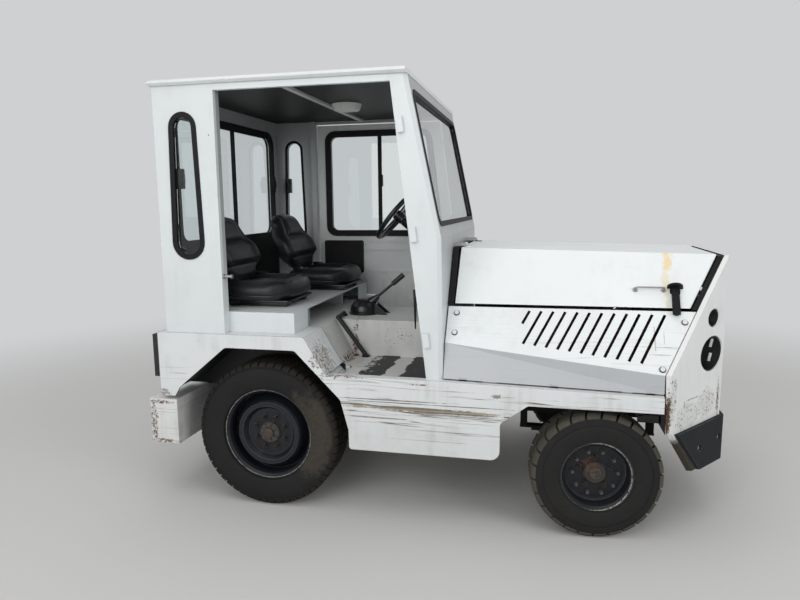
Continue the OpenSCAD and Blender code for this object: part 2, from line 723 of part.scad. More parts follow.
module quarter_panel() {
    difference() {
        side_plate([[-cab_rear, fender_z], [door_rear, fender_z], [door_rear, eave_z],
            [-cab_rear, eave_z]], cab_in, cab_half_w);
        side_plate(quarter_outline(0), cab_in - cut, cab_half_w + cut);
    }
    // deep post behind the door opening
    box([door_rear - post_w, cab_half_w - post_t, fender_z],
        [door_rear, cab_in, eave_z - ceiling_t - seat_gap]);
}
post_w = 34;
module quarter_panel_left() { color(white) on_tug() quarter_panel(); }
module quarter_panel_right() { color(white) on_tug() mirror([0, 1, 0]) quarter_panel(); }

// Front pillar with the rail over the door
bevel = 18;
// A long wedge that takes the corner off between a front face and the side
module bevel_cut(len) {
    translate([0, cab_half_w, -cut]) linear_extrude(len + 2 * cut)
        polygon([[-bevel, cut], [-bevel, 0], [0, -bevel], [cut, -bevel], [cut, cut]]);
}
module pillar() {
    difference() {
        side_plate([[door_rear, eave_z], [door_rear, door_top_z], [pillar_top_x, door_top_z],
            [pillar_foot_x, sill_z], [toe_x, sill_z], [cowl_x, cowl_z],
            [roof_edge_x, eave_z]], cab_in, cab_half_w);
        on_screen() bevel_cut(screen_len);
        translate([toe_x, 0, sill_z]) rotate([0, -atan2(toe_x - cowl_x, cowl_z - sill_z), 0])
            bevel_cut(cowl_z - sill_z);
    }
}
module pillar_left() { color(white) on_tug() pillar(); }
module pillar_right() { color(white) on_tug() mirror([0, 1, 0]) pillar(); }

screen_lean = atan2(cowl_x - roof_edge_x, eave_z - cowl_z);
screen_len = (eave_z - cowl_z) / cos(screen_lean);
screen_half = cab_half_w - 55;   // half the width of the windscreen's opening
screen_foot = 60;
screen_head = 66;
// Puts an outline drawn in Y and height along the windscreen on its outer face
module on_screen() {
    translate([cowl_x, 0, cowl_z]) rotate([0, -screen_lean, 0]) children();
}
function screen_outline(inset, r) = rounded([
    [-screen_half + inset, screen_foot + inset, r],
    [screen_half - inset, screen_foot + inset, r],
    [screen_half - inset, screen_len - screen_head - inset, r],
    [-screen_half + inset, screen_len - screen_head - inset, r]]);

module front_wall() {
    color(white) on_tug() hood_arms();
    color(white) on_tug() difference() {
        side_plate([[toe_x, fender_low_z], [toe_x, sill_z], [cowl_x, cowl_z],
            [roof_edge_x, eave_z], [roof_edge_x - wall_t, eave_z], [cowl_x - wall_t, cowl_z],
            [toe_x - wall_t, sill_z], [toe_x - wall_t, fender_low_z]], -cab_in, cab_in);
        on_screen() cross_plate(screen_outline(0, 50), -wall_t - 5, 5);
        both_sides() box([toe_x - wall_t - cut, rail_inside - 1, rail_z], [toe_x + cut,
            rail_out + 1, rail_top + 1]);
    }
}

// The roof's edge is rolled out to a lip at the sides and the rear
lip_z = eave_z + 11;
lip_back = 9;
// One side of the roof's edge, from the underside to the flat top, as [outwards, z]
function roof_edge(face) = [[face + roof_lip - lip_back, eave_z], [face + roof_lip, lip_z],
    [face + roof_lip, lip_z + 3], [face + roof_lip - 12, eave_z + roof_t - 4],
    [face + roof_lip - 24, eave_z + roof_t]];
module roof() {
    color(white) on_tug() intersection() {
        side_plate(concat([for (p = roof_edge(cab_rear)) [-p.x, p.y]],
            [[roof_edge_x - 12, eave_z + roof_t], [roof_edge_x - 3, eave_z + roof_t - 5],
            [roof_edge_x + 2, eave_z]]), -body_w, body_w);
        cross_plate(mirrored_y(roof_edge(cab_half_w)), -2 * cab_rear, 2 * roof_front);
    }
}
function mirrored_y(p) = concat(p, reversed([for (q = p) [-q.x, q.y]]));

ceiling_t = 12;
rail_x = [120, 150];
rail_t = 12;
dome_x = 240;
dome_r = 88;
dome_h = 34;
module ceiling() {
    color(black) on_tug() box([-cab_rear + wall_t + seat_gap, -cab_in + seat_gap,
        eave_z - ceiling_t], [roof_edge_x - wall_t - 2, cab_in - seat_gap, eave_z]);
}
module dome_lamp() {
    color(white) on_tug() {
        box([rail_x[0], -cab_in + 10, eave_z - ceiling_t - rail_t],
            [rail_x[1], cab_in - 10, eave_z - ceiling_t]);
        translate([dome_x, 0, eave_z - ceiling_t - dome_h])
            cylinder(r1 = dome_r - 14, r2 = dome_r, h = dome_h, $fn = 48);
    }
}

// Windows and their rubbers
lap = 8;             // how far a rubber laps over its panel
proud = 4;           // how far a rubber stands out of its panel
divider_y = 60;      // middle of the strip down the rear window
divider_w = 20;
module quarter_windows() {
    color(glass) on_tug() both_sides() side_plate(quarter_outline(rubber_w - lap + seat_gap),
        cab_half_w - wall_t / 2 - glass_t / 2, cab_half_w - wall_t / 2 + glass_t / 2);
}
module rear_window() {
    i = rubber_w - lap + seat_gap;
    color(glass) on_tug() cross_plate(window(rear_window_low + [i, i], rear_window_high - [i, i],
        80 - i), -cab_rear + wall_t / 2 - glass_t / 2, -cab_rear + wall_t / 2 + glass_t / 2);
}
module windscreen() {
    i = rubber_w - lap + seat_gap;
    color(glass) on_tug() on_screen()
        cross_plate(screen_outline(i, 50 - i), -wall_t / 2 - glass_t / 2, -wall_t / 2 + glass_t / 2);
}

module window_rubbers() {
    i = rubber_w - lap;
    color(black) on_tug() {
        both_sides() difference() {
            union() {
                side_plate(quarter_outline(seat_gap), cab_in, cab_half_w);
                side_plate(quarter_outline(-lap), cab_half_w, cab_half_w + proud);
            }
            side_plate(quarter_outline(i), cab_in - cut, cab_half_w + proud + cut);
        }
        difference() {
            union() {
                cross_plate(window(rear_window_low + [seat_gap, seat_gap],
                    rear_window_high - [seat_gap, seat_gap], 80), -cab_rear, -cab_rear + wall_t);
                for (x = [-cab_rear - proud, -cab_rear + wall_t])
                    cross_plate(window(rear_window_low - [lap, lap], rear_window_high + [lap, lap],
                        80 + lap), x, x + proud);
            }
            cross_plate(window(rear_window_low + [i, i], rear_window_high - [i, i], 80 - i),
                -cab_rear - proud - cut, -cab_rear + wall_t + proud + cut);
        }
        // strips before and behind the rear window's glass
        for (face = [[-cab_rear + proud, -cab_rear + wall_t / 2 - glass_t / 2 - seat_gap],
            [-cab_rear + wall_t / 2 + glass_t / 2 + seat_gap, -cab_rear + wall_t - proud]])
            box([face[0], divider_y - divider_w / 2, rear_window_low.y + i - cut],
                [face[1], divider_y + divider_w / 2, rear_window_high.y - i + cut]);
        on_screen() difference() {
            union() {
                cross_plate(screen_outline(seat_gap, 50), -wall_t, 0);
                cross_plate(screen_outline(-lap, 50 + lap), 0, proud);
            }
            cross_plate(screen_outline(i, 50 - i), -wall_t - cut, proud + cut);
        }
    }
}

// Left door, closed, with a sliding window
door_out = cab_half_w - 2;
door_in = cab_in;
door_head = door_top_z - door_gap;
hinge_z = [fender_z + 7, (fender_z + door_top_z) / 2 - 92, door_top_z - 194];
hinge_h = 70;
hinge_y = cab_half_w + 11;
hinge_pin_d = 12;
door_lean = atan2(pillar_foot_x - pillar_top_x, door_top_z - sill_z);
hinge_off = 24;      // from the pillar's edge forward to the pins
function door_outline() = rounded([
    [door_rear + door_gap, fender_z + door_gap, 10],
    [fender_front + 3, fender_z + door_gap, 8],
    [fender_foot + 6, sill_z + door_gap, 8],
    [pillar_edge(sill_z + door_gap) - door_gap, sill_z + door_gap, 10],
    [pillar_edge(door_head) - door_gap, door_head, 10],
    [door_rear + door_gap, door_head, 10]]);
door_window_low = [-120, 1350];
door_window_high = [600, door_top_z - 70];
function door_glass(inset) = rounded([
    [door_window_low.x + inset, door_window_low.y + inset, 60 - inset],
    [pillar_edge(door_window_low.y) - 95 - inset, door_window_low.y + inset, 60 - inset],
    [pillar_edge(door_window_high.y) - 95 - inset, door_window_high.y - inset, 60 - inset],
    [door_window_low.x + inset, door_window_high.y - inset, 60 - inset]]);

// Places a piece on the slanted hinge line at a height
module at_hinge(z) {
    translate([pillar_edge(z) + hinge_off, hinge_y, z]) rotate([0, -door_lean, 0]) children();
}

module door_left() {
    color(white) on_tug() {
        difference() {
            side_plate(door_outline(), door_in, door_out);
            side_plate(door_glass(0), door_in - cut, door_out + cut);
        }
        // hinge leaves with pins that drop into the blocks on the pillar
        for (z = hinge_z) at_hinge(z + hinge_h / 2) {
            translate([0, 0, 0.5]) cylinder(d = 18, h = 30, $fn = 48);
            translate([0, 0, -24]) cylinder(d = hinge_pin_d - 2 * run_gap, h = 40, $fn = 48);
            box([-hinge_off - 44, -hinge_y + door_out - 2, 4], [-hinge_off - 8, 2, 26]);
            box([-hinge_off - 8, -4, 4], [0, 2, 26]);
        }
        // outside handle: a plate with a pull bar on two feet
        box([handle_x, door_out, handle_z - 24], [handle_x + 130, door_out + 4, handle_z + 24]);
        for (x = [handle_x + 12, handle_x + 104])
            box([x, door_out, handle_z - 8], [x + 14, door_out + 34, handle_z + 8]);
        box([handle_x + 4, door_out + 26, handle_z - 10],
            [handle_x + 126, door_out + 40, handle_z + 10]);
        // pressed beads on the inner face
        for (bead = door_beads) side_plate(strip(bead, bead_w), door_in - bead_h, door_in);
    }
}
handle_x = -175;
handle_z = 1196;
bead_w = 14;
bead_h = 7;
door_beads = [[[150, 1076], [650, 1076]], [[205, 1060], [470, 845]], [[260, 1060], [525, 845]],
    [[150, 1288], [430, 1288]], [[150, 1228], [430, 1228]]];
pocket_low = [-156, 1070];
pocket_high = [125, 1298];
module door_pocket() {
    color(black) on_tug() difference() {
        side_plate(window(pocket_low, pocket_high, 12), door_in - pocket_t, door_in - seat_gap);
        side_plate(window([-90, pocket_high.y - 34], [10, pocket_high.y - 18], 7),
            door_in - pocket_t - cut, door_in - pocket_t + 6);
    }
}
pocket_t = 26;
module door_window() {
    color(glass) on_tug() side_plate(door_glass(rubber_w - lap + seat_gap),
        cab_half_w - wall_t / 2 - glass_t / 2, cab_half_w - wall_t / 2 + glass_t / 2);
}
module door_rubber() {
    i = rubber_w - lap;
    color(black) on_tug() {
        difference() {
            union() {
                side_plate(door_glass(seat_gap), door_in, door_out);
                side_plate(door_glass(-lap), door_out, door_out + proud);
            }
            side_plate(door_glass(i), door_in - cut, door_out + proud + cut);
        }
    }
}

module hinge_blocks() {
    color(white) on_tug() both_sides() for (z = hinge_z) difference() {
        at_hinge(z - hinge_h / 2) translate([-14, -hinge_y + cab_half_w, 0])
            cube([28, 20, hinge_h]);
        at_hinge(z + hinge_h / 2) translate([0, 0, -30]) cylinder(d = hinge_pin_d, h = 31, $fn = 48);
    }
}

// Seats: plain cushions and leaning backs that are narrower and round at the top
cushion_h = 120;
seat_z = deck_z + 30;
cushion_len = 430;
back_foot = 290;             // front of the cushion back to the front of the backrest
back_lean = 160;             // how far the backrest's top lies behind its foot
back_top_z = 1495;
module seat(side, front) {
    half = seat_w / 2;
    foot = front - back_foot;
    color(black) on_tug() translate([0, side * seat_y, 0]) {
        intersection() {
            side_plate(rounded([[front - cushion_len, seat_z, 20], [front, seat_z, 40],
                [front, seat_z + cushion_h, 50], [foot, seat_z + cushion_h - 12, 0],
                [front - cushion_len, seat_z + cushion_h - 12, 0]]), -half, half);
            translate([0, 0, seat_z]) linear_extrude(cushion_h) polygon(rounded([
                [front - cushion_len, -half, 30], [front, -half, 130], [front, half, 130],
                [front - cushion_len, half, 30]], 8));
        }
        intersection() {
            side_plate(rounded([[foot - 120, seat_z + cushion_h - 12, 0],
                [foot, seat_z + cushion_h - 12, 0], [foot - back_lean, back_top_z, 25],
                [foot - back_lean - 70, back_top_z, 30]]), -half, half);
            cross_plate(rounded([[-half, seat_z, 0], [half, seat_z, 0], [half, back_top_z - 170, 60],
                [half - 55, back_top_z, 90], [55 - half, back_top_z, 90],
                [-half, back_top_z - 170, 60]], 8), front - 2 * cushion_len, front);
        }
        box([front - cushion_len + 60, -half + 90, deck_z],
            [min(front, deck_front) - 60, half - 90, seat_z]);
    }
}
module seat_left() { seat(1, left_seat_x); }
module seat_right() { seat(-1, right_seat_x); }

// Steering wheel, turned about its sloping column
column_len = 560;     // before its end is cut along the front wall
hub_depth = 50;
shaft_d = 24;
shaft_len = 30;
module at_column() {
    on_tug() translate([steering_x, seat_y, steering_z]) rotate([0, column_slope - 90, 0]) children();
}
module steering_wheel() {
    reach = steering_d / 2 - rim_bar / 2;
    color(black) at_column() {
        rotate_extrude($fn = 64) translate([reach, 0]) circle(d = rim_bar, $fn = 24);
        difference() {
            translate([0, 0, -hub_depth]) cylinder(r = 32, h = hub_depth + 10, $fn = 48);
            translate([0, 0, -hub_depth - cut])
                cylinder(d = shaft_d + 2 * run_gap, h = shaft_len + cut + 1, $fn = 48);
        }
        for (a = [90, 210, 330]) rotate([0, 0, a]) translate([0, 0, -14]) linear_extrude(8)
            polygon([[26, -30], [reach, -20], [reach, 20], [26, 30]]);
    }
}
module steering_column() {
    end = hub_depth + 6;
    color(black) {
        difference() {
            at_column() translate([0, 0, -end - column_len])
                cylinder(r = 30, h = column_len, $fn = 48);
            on_tug() side_plate([[inside_x(floor_z), floor_z], [inside_x(cowl_z), cowl_z],
                [nose_x, cowl_z], [nose_x, floor_z]], -cab_in, cab_in);
        }
        // shaft in the wheel's hub
        at_column() translate([0, 0, -end - cut])
            cylinder(d = shaft_d, h = end - hub_depth + shaft_len + cut, $fn = 48);
    }
}

// Lever console on the gearbox cover, grab rail and pedals
console_x = 330;
console_y = -20;
console_r = 84;
// Lever: where it leaves the dome, its lean from upright and its lengths
lever_start = [40, 0, 66];
lever_lean = 50;
boot_len = 62;
shank_len = 178;
lever_len = 262;
module lever_console() {
    color(black) on_tug() translate([console_x, console_y, fender_z]) {
        cylinder(r = console_r + 6, h = 10, $fn = 48);
        translate([0, 0, 10]) rotate_extrude($fn = 48) polygon([[0, 0], [console_r, 0],
            [console_r, 14], [console_r - 6, 40], [console_r - 22, 60], [console_r - 48, 74], [0, 78]]);
        side_plate([[console_r - 10, 0], [console_r + 66, 0], [console_r - 10, 66]], -40, -28);
        side_plate([[console_r - 10, 0], [console_r + 66, 0], [console_r - 10, 66]], 28, 40);
        translate(lever_start) rotate([0, lever_lean, 0]) {
            cylinder(r1 = 30, r2 = 13, h = boot_len, $fn = 32);
            cylinder(d = 16, h = lever_len, $fn = 24);
            translate([0, 0, shank_len]) cylinder(d = 30, h = lever_len - shank_len, $fn = 32);
        }
    }
}
// Grab rail: straight round bars between points, with round elbows
grab_d = 24;
grab_points = [[236, -125, fender_z + 17], [246, -tunnel_half - 27, fender_z + 15],
    [404, -tunnel_half - 27, floor_z + 9]];
module rod(a, b, d) {
    v = b - a;
    translate(a) rotate([0, acos(v.z / norm(v)), atan2(v.y, v.x)]) cylinder(d = d, h = norm(v), $fn = 32);
}
module grab_rail() {
    color(black) on_tug() {
        for (i = [0:1]) rod(grab_points[i], grab_points[i + 1], grab_d);
        translate(grab_points[1]) sphere(d = grab_d + 3, $fn = 32);
        translate([grab_points[2].x, grab_points[2].y, floor_z]) cylinder(d = 44, h = 10, $fn = 32);
        translate([grab_points[0].x, grab_points[0].y, fender_z]) cylinder(d = 40, h = 12, $fn = 32);
    }
}
pedal_x = 790;
module pedals() {
    color(black) on_tug() for (y = [300, 400, 500]) {
        box([pedal_x, y - 35, floor_z + 110], [pedal_x + 12, y + 35, floor_z + 190]);
        box([pedal_x + 12, y - 8, floor_z + 130], [inside_x(floor_z + 160), y + 8, floor_z + 160]);
    }
}

// Hood. Its flat top slopes to the nose and its sides lean out.
hood_rear = 953;
lean_run = tan(side_lean);
module on_hood() { translate([hood_rear, 0, hood_z]) rotate([0, hood_slope, 0]) children(); }
// Half width of the hood at a drop below its top
function hood_y(drop) = hood_half_w + drop * lean_run;
// X of the swept nose at a distance from the centreline
function nose_at(y) = nose_x - max(0, abs(y) - nose_half) * sweep_run;

wide = body_half + 150;      // half a width that takes in the whole nose
// A plan of the nose between two offsets behind its outer face, out to a half width
function nose_plan(back, front, half) =
    let (line = [[nose_at(half), -half], [nose_x, -nose_half], [nose_x, nose_half],
        [nose_at(half), half]])
    concat([for (p = line) [p.x - front, p.y]], reversed([for (p = line) [p.x - back, p.y]]));
module nose_band(back, front, z0, z1) {
    translate([0, 0, z0]) linear_extrude(z1 - z0) polygon(nose_plan(back, front, wide));
}
// All that lies behind an offset from the nose
module behind_nose(back, z0, z1) {
    line = nose_plan(back, 0, wide);
    translate([0, 0, z0]) linear_extrude(z1 - z0)
        polygon(concat([[0, -wide]], reversed([for (i = [4:7]) line[i]]), [[0, wide]]));
}

lid_drop = 330;
module lid_section(top, t) {
    // outline in Y and Z of the folded sheet, its top at z = top
    s = t / cos(side_lean) - t * lean_run;
    outer = [[-hood_y(lid_drop), -lid_drop], [-hood_half_w, 0], [hood_half_w, 0],
        [hood_y(lid_drop), -lid_drop]];
    inner = [[-hood_y(lid_drop) + t / cos(side_lean), -lid_drop], [-hood_half_w + s, -t],
        [hood_half_w - s, -t], [hood_y(lid_drop) - t / cos(side_lean), -lid_drop]];
    rotate([90, 0, 90]) linear_extrude(nose_x - hood_rear + 100) polygon([for (p = concat(outer, reversed(inner)))
        [p.x, p.y + top]]);
}
// The lid turns on two pins above its rear edge, carried by arms on the cab's front wall
lid_pin = [hood_rear + 10, hood_z + 12];     // X and Z of the pins
lid_pin_d = 10;
lid_hinge_y = 250;
lid_barrel = 50;
arm_t = 8;
module hood_lid() {
    color(white) on_tug() {
        intersection() {
            on_hood() lid_section(0, sheet_t);
            behind_nose(flange + lid_gap, seam_z + seam_gap / 2, hood_z + 50);
        }
        both_sides() difference() {
            union() {
                cross_bar(lid_pin_d + 10, lid_hinge_y - lid_barrel / 2, lid_hinge_y + lid_barrel / 2,
                    lid_pin.x, lid_pin.y);
                box([lid_pin.x, lid_hinge_y - lid_barrel / 2, hood_z - 6],
                    [lid_pin.x + 40, lid_hinge_y + lid_barrel / 2, hood_z + 4]);
            }
            cross_bar(lid_pin_d + 2 * run_gap, lid_hinge_y - lid_barrel, lid_hinge_y + lid_barrel,
                lid_pin.x, lid_pin.y);
        }
    }
}
module hood_arms() {
    both_sides() for (side = [-1, 1]) {
        y = lid_hinge_y + side * (lid_barrel / 2 + 1 + arm_t / 2);
        box([screen_x(lid_pin.y) - 4, y - arm_t / 2, lid_pin.y - 7],
            [lid_pin.x + 8, y + arm_t / 2, lid_pin.y + 7]);
    }
    both_sides() cross_bar(lid_pin_d, lid_hinge_y - lid_barrel / 2 - 2, lid_hinge_y + lid_barrel / 2 + 2,
        lid_pin.x, lid_pin.y);
}

// Rubber straps that hold the lid down, each with half a disc as its grip. They ride on
// the lid, clear of the side panel.
catch_x = nose_x - 256;
catch_z = [1150, 1030];      // top and foot of a strap
strap_w = 44;
grip_r = 35;
grip_t = 10;
module hood_catches() {
    color(black) on_tug() both_sides() on_side() translate([catch_x - hood_rear, 0, 0]) {
        top = down(catch_z[0], catch_x);
        foot = down(catch_z[1], catch_x);
        box([-strap_w / 2, top + grip_t, seat_gap], [strap_w / 2, top + grip_t + 26, 8]);
        box([-strap_w / 2 + 5, top, 8], [strap_w / 2 - 5, foot, 17]);
        intersection() {
            translate([0, top, 10]) rotate([-90, 0, 0]) cylinder(r = grip_r, h = grip_t, $fn = 48);
            box([-grip_r - cut, top - cut, 1], [grip_r + cut, top + grip_t + cut, grip_r + 20]);
        }
        translate([0, foot - 12, 8]) cylinder(r = 17, h = 14, $fn = 32);
    }
}

module hood_seal() {
    color(black) on_tug() difference() {
        intersection() {
            on_hood() translate([-40, 0, 0]) lid_section(2, 40);
            box([toe_x - 20, -body_half, seam_z], [hood_rear - 12, body_half, hood_z + 40]);
        }
        side_plate([[toe_x, fender_low_z], [toe_x, sill_z], [cowl_x, cowl_z],
            [roof_edge_x, eave_z], [0, eave_z], [0, fender_low_z]], -body_half, body_half);
    }
    // strip on the nose's flange, in the gap before the lid
    color(black) on_tug() intersection() {
        on_hood() lid_section(-8, 12);
        difference() {
            behind_nose(flange + seat_gap, seam_z, hood_z);
            behind_nose(flange + lid_gap - 8, seam_z - cut, hood_z + cut);
        }
    }
}

// Side panel: a leaning plate with slots, and a folded skirt below its crease
function down(z, x) = (hood_z - (x - hood_rear) * tan(hood_slope) - z) / cos(side_lean);
slot_x = nose_x - 916;       // top of the first slot, from the rear axle
panel_front = flange + skin_gap;
module on_side() {
    // X along the hood, Y down its leaning side, Z out of the tug
    on_hood() translate([0, hood_half_w, 0]) rotate([side_lean - 90, 0, 0]) children();
}
module side_panel() {
    crease_y0 = hood_y(hood_z - crease_rear_z);
    crease_y1 = body_half - 26;
    difference() {
        intersection() {
            on_side() translate([0, 0, -sheet_t]) linear_extrude(sheet_t)
                polygon([[-45, 320], [1160, 290], [1060, 660], [950, 640], [-45, 541]]);
            behind_nose(panel_front, fender_low_z, seam_z);
            box([toe_x + skin_gap, 0, fender_low_z], [nose_x, body_half, seam_z - seam_gap / 2]);
        }
        on_side() for (i = [0:slots - 1]) slot(i);
    }
    intersection() {
        polyhedron(
            points = [for (e = [0, sheet_t]) for (p = [
                [toe_x + skin_gap, crease_y0, crease_rear_z], [skirt_end, crease_y1, crease_front_z],
                [skirt_end, crease_y1, sill_top(skirt_end) + skirt_gap],
                [toe_x + skin_gap, crease_y1, sill_top(toe_x) + skirt_gap]])
                [p.x, p.y - e, p.z - (p.z > crease_front_z - cut ? e * 0.6 : 0)]],
            faces = [[2, 1, 0], [3, 2, 0], [4, 5, 6], [4, 6, 7], [5, 4, 0], [1, 5, 0],
                [6, 5, 1], [2, 6, 1], [7, 6, 2], [3, 7, 2], [4, 7, 3], [0, 4, 3]]);
        behind_nose(panel_front, fender_low_z, seam_z);
    }
    // tabs that stand on the sill's folded edge
    for (x = tab_x) side_plate([[x, sill_top(x) + seat_gap], [x + tab_w, sill_top(x + tab_w) + seat_gap],
        [x + tab_w, sill_top(x) + skirt_gap + 8], [x, sill_top(x) + skirt_gap + 8]],
        crease_y1 - sheet_t, crease_y1);
}
tab_w = 40;
tab_x = [toe_x + 76, (toe_x + fold_end) / 2, fold_end - tab_w - 36];
skirt_gap = 7;
skirt_end = fold_end + 8;
// Height of the sill along the hood
function sill_top(x) = sill_z - sill_drop * (x - toe_x) / (fold_end - toe_x);
// The first slot is short, and the others grow longer towards the nose
first_slot = 77;
second_slot = 193;
slot_growth = 7.9;
slot_top = 350;
slot_lean = 24;
module slot(i) {
    len = i == 0 ? first_slot : second_slot + slot_growth * (i - 1);
    translate([slot_x - hood_rear + i * slot_pitch, slot_top - i, -sheet_t - cut])
        rotate([0, 0, slot_lean]) translate([-slot_w / 2, 0, 0])
            cube([slot_w, len, sheet_t + 2 * cut]);
}
module side_panel_left() { color(white) on_tug() side_panel(); }
module side_panel_right() { color(white) on_tug() mirror([0, 1, 0]) side_panel(); }

// Nose: one folded plate with a flange, lamp openings and a thick black pad on its foot
nose_foot = 535;
function nose_outline(inset) =
    let (y_top = nose_half - inset * 0.6)
    mirrored_y([[nose_foot - inset, nose_low_z], [nose_knee - inset, pad_top_z + 8],
        [nose_side - inset, crease_front_z - inset * 0.4], [y_top, hood_z - 29 - inset]]);
nose_knee = 702;
pad_side = 686;
pad_foot = 508;
module nose_plate() {
    color(white) on_tug() difference() {
        intersection() {
            nose_band(flange, 0, nose_low_z, hood_z);
            cross_plate(nose_outline(0), wheelbase, nose_x + 100);
        }
        intersection() {
            nose_band(flange + 60, nose_t, nose_low_z - cut, hood_z + cut);
            cross_plate(nose_outline(nose_t), wheelbase, nose_x + 100);
        }
        box([wheelbase, -400, nose_low_z - cut], [nose_x - nose_t, 400, pad_top_z]);
        both_sides() lamp_hole(headlamp_d, headlamp_z);
        both_sides() lamp_hole(indicator_d, indicator_z);
        for (i = [0:grille_slots - 1]) box([nose_x - 60, -grille_half, grille_z + i * grille_pitch],
            [nose_x + cut, grille_half, grille_z + i * grille_pitch + grille_slot]);
    }
}
// Air slots in the middle of the nose
grille_slots = 9;
grille_pitch = 52;
grille_slot = 24;
grille_half = 230;
grille_z = 640;
module lamp_hole(d, z) {
    translate([nose_at(lamp_y) - 300, lamp_y, z]) rotate([0, 90, 0]) cylinder(d = d, h = 500, $fn = 64);
}
// Bolt holes in the pad, [Y, Z]
pad_holes = [[517, 396], [365, 404]];
pad_hole_d = 34;
module bumper_pad() {
    color(black) on_tug() difference() {
        intersection() {
            nose_band(0, -pad_t, nose_low_z, pad_top_z);
            cross_plate(mirrored_y([[pad_foot, nose_low_z], [pad_side, pad_top_z]]),
                wheelbase, nose_x + 100);
        }
        both_sides() for (p = pad_holes) translate([nose_at(p[0]) - 20, p[0], p[1]])
            rotate([0, 90, 0]) cylinder(d = pad_hole_d, h = pad_t + 60, $fn = 48);
    }
}

// Lamp housings seated in their holes, their fronts just behind the nose's face
lamp_back = 70;
lamp_wall = 7;
lamp_depth = 36;
module lamp(d, z) {
    intersection() {
        translate([nose_at(lamp_y + d / 2) - nose_t - lamp_back, lamp_y, z]) rotate([0, 90, 0])
            cylinder(d = d - 2 * seat_gap, h = lamp_back + d, $fn = 64);
        behind_nose(5, z - d, z + d);
    }
}
module lamp_hollow(d, z) {
    intersection() {
        translate([nose_at(lamp_y + d / 2) - nose_t - lamp_depth, lamp_y, z]) rotate([0, 90, 0])
            cylinder(d = d - 2 * lamp_wall, h = lamp_depth + d + 20, $fn = 64);
        behind_nose(0, z - d, z + d);
    }
}
module front_lamps() {
    color(glass) on_tug() both_sides() difference() {
        union() {
            lamp(headlamp_d, headlamp_z);
            lamp(indicator_d, indicator_z);
        }
        lamp_hollow(headlamp_d, headlamp_z);
        lamp_hollow(indicator_d, indicator_z);
    }
}

chassis();
engine_block();
radiator();
rear_axle();
front_axle();
front_springs();
knuckle_left();
knuckle_right();
tie_rod();
rim_rear_left();
rim_rear_right();
rim_front_left();
rim_front_right();
tyre_rear_left();
tyre_rear_right();
tyre_front_left();
tyre_front_right();
fender_left();
fender_right();
rear_bumper();
tow_hitch();
rear_lamps();
cab_floor();
seat_deck();
rear_wall();
rear_trim();
quarter_panel_left();
quarter_panel_right();
pillar_left();
pillar_right();
front_wall();
roof();
ceiling();
dome_lamp();
windscreen();
rear_window();
quarter_windows();
window_rubbers();
door_left();
door_window();
door_rubber();
door_pocket();
hinge_blocks();
seat_left();
seat_right();
steering_wheel();
steering_column();
lever_console();
grab_rail();
pedals();
hood_lid();
hood_catches();
hood_seal();
side_panel_left();
side_panel_right();
nose_plate();
bumper_pad();
front_lamps();
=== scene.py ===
import math
import bpy
from mathutils import Matrix, Vector


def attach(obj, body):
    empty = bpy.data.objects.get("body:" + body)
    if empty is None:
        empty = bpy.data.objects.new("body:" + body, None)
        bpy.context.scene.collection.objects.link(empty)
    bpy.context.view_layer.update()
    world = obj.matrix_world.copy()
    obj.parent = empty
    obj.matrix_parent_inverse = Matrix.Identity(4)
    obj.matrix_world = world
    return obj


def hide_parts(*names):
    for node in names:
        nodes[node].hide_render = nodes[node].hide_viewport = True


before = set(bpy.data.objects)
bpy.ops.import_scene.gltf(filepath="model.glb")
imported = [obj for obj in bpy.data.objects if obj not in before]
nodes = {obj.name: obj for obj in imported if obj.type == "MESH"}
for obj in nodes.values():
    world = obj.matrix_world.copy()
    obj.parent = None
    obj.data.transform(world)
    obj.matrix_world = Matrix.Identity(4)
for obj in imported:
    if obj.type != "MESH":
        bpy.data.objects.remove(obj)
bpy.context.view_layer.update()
print("loaded", len(nodes), "CAD pieces")

# Places along the tug are written from the rear axle, as on its drawing.
axleToMiddle = 0.748
leftThenRight = ((1, "left"), (-1, "right"))
rightThenLeft = ((-1, "right"), (1, "left"))


def at(x, y, z):
    return Vector((x - axleToMiddle, y, z))


# Camera, floor and light

photoCamera = {
    "lens": 28.485,        # mm on a 36 mm sensor
    "place": (1.372, -3.614, 1.55),
    "yaw": 12.9,           # degrees to the left of straight across
    "pitch": 8.64,
    "roll": -0.55,
}
studio = {
    "floorSize": 60.0,
    "floorColour": (0.56, 0.56, 0.55, 1),
    "backdrop": (0.62, 0.63, 0.64, 1),
    "floorFade": (2.6, 6.5),   # the floor turns to the backdrop's colour between these distances
    "skyLight": 0.52,          # even light from all round
    "lampColour": (1.0, 0.99, 0.97),
    "unseen": ("farLamp", "frontLamp"),   # not mirrored in the glass or the hood
    "lamps": [                 # name, place, aim, size, power
        ("topLamp", (0.5, -1.5, 6.5), (0.8, 0.0, 0.8), 6.0, 105),
        ("sideLamp", (-1.0, -6.5, 3.4), (0.8, 0.0, 1.0), 4.5, 180),
        ("frontLamp", (6.5, -4.0, 3.2), (1.5, 0.0, 0.8), 3.0, 125),
        ("farLamp", (0.5, 6.5, 3.8), (0.7, 0.0, 1.0), 4.0, 60),
    ],
}


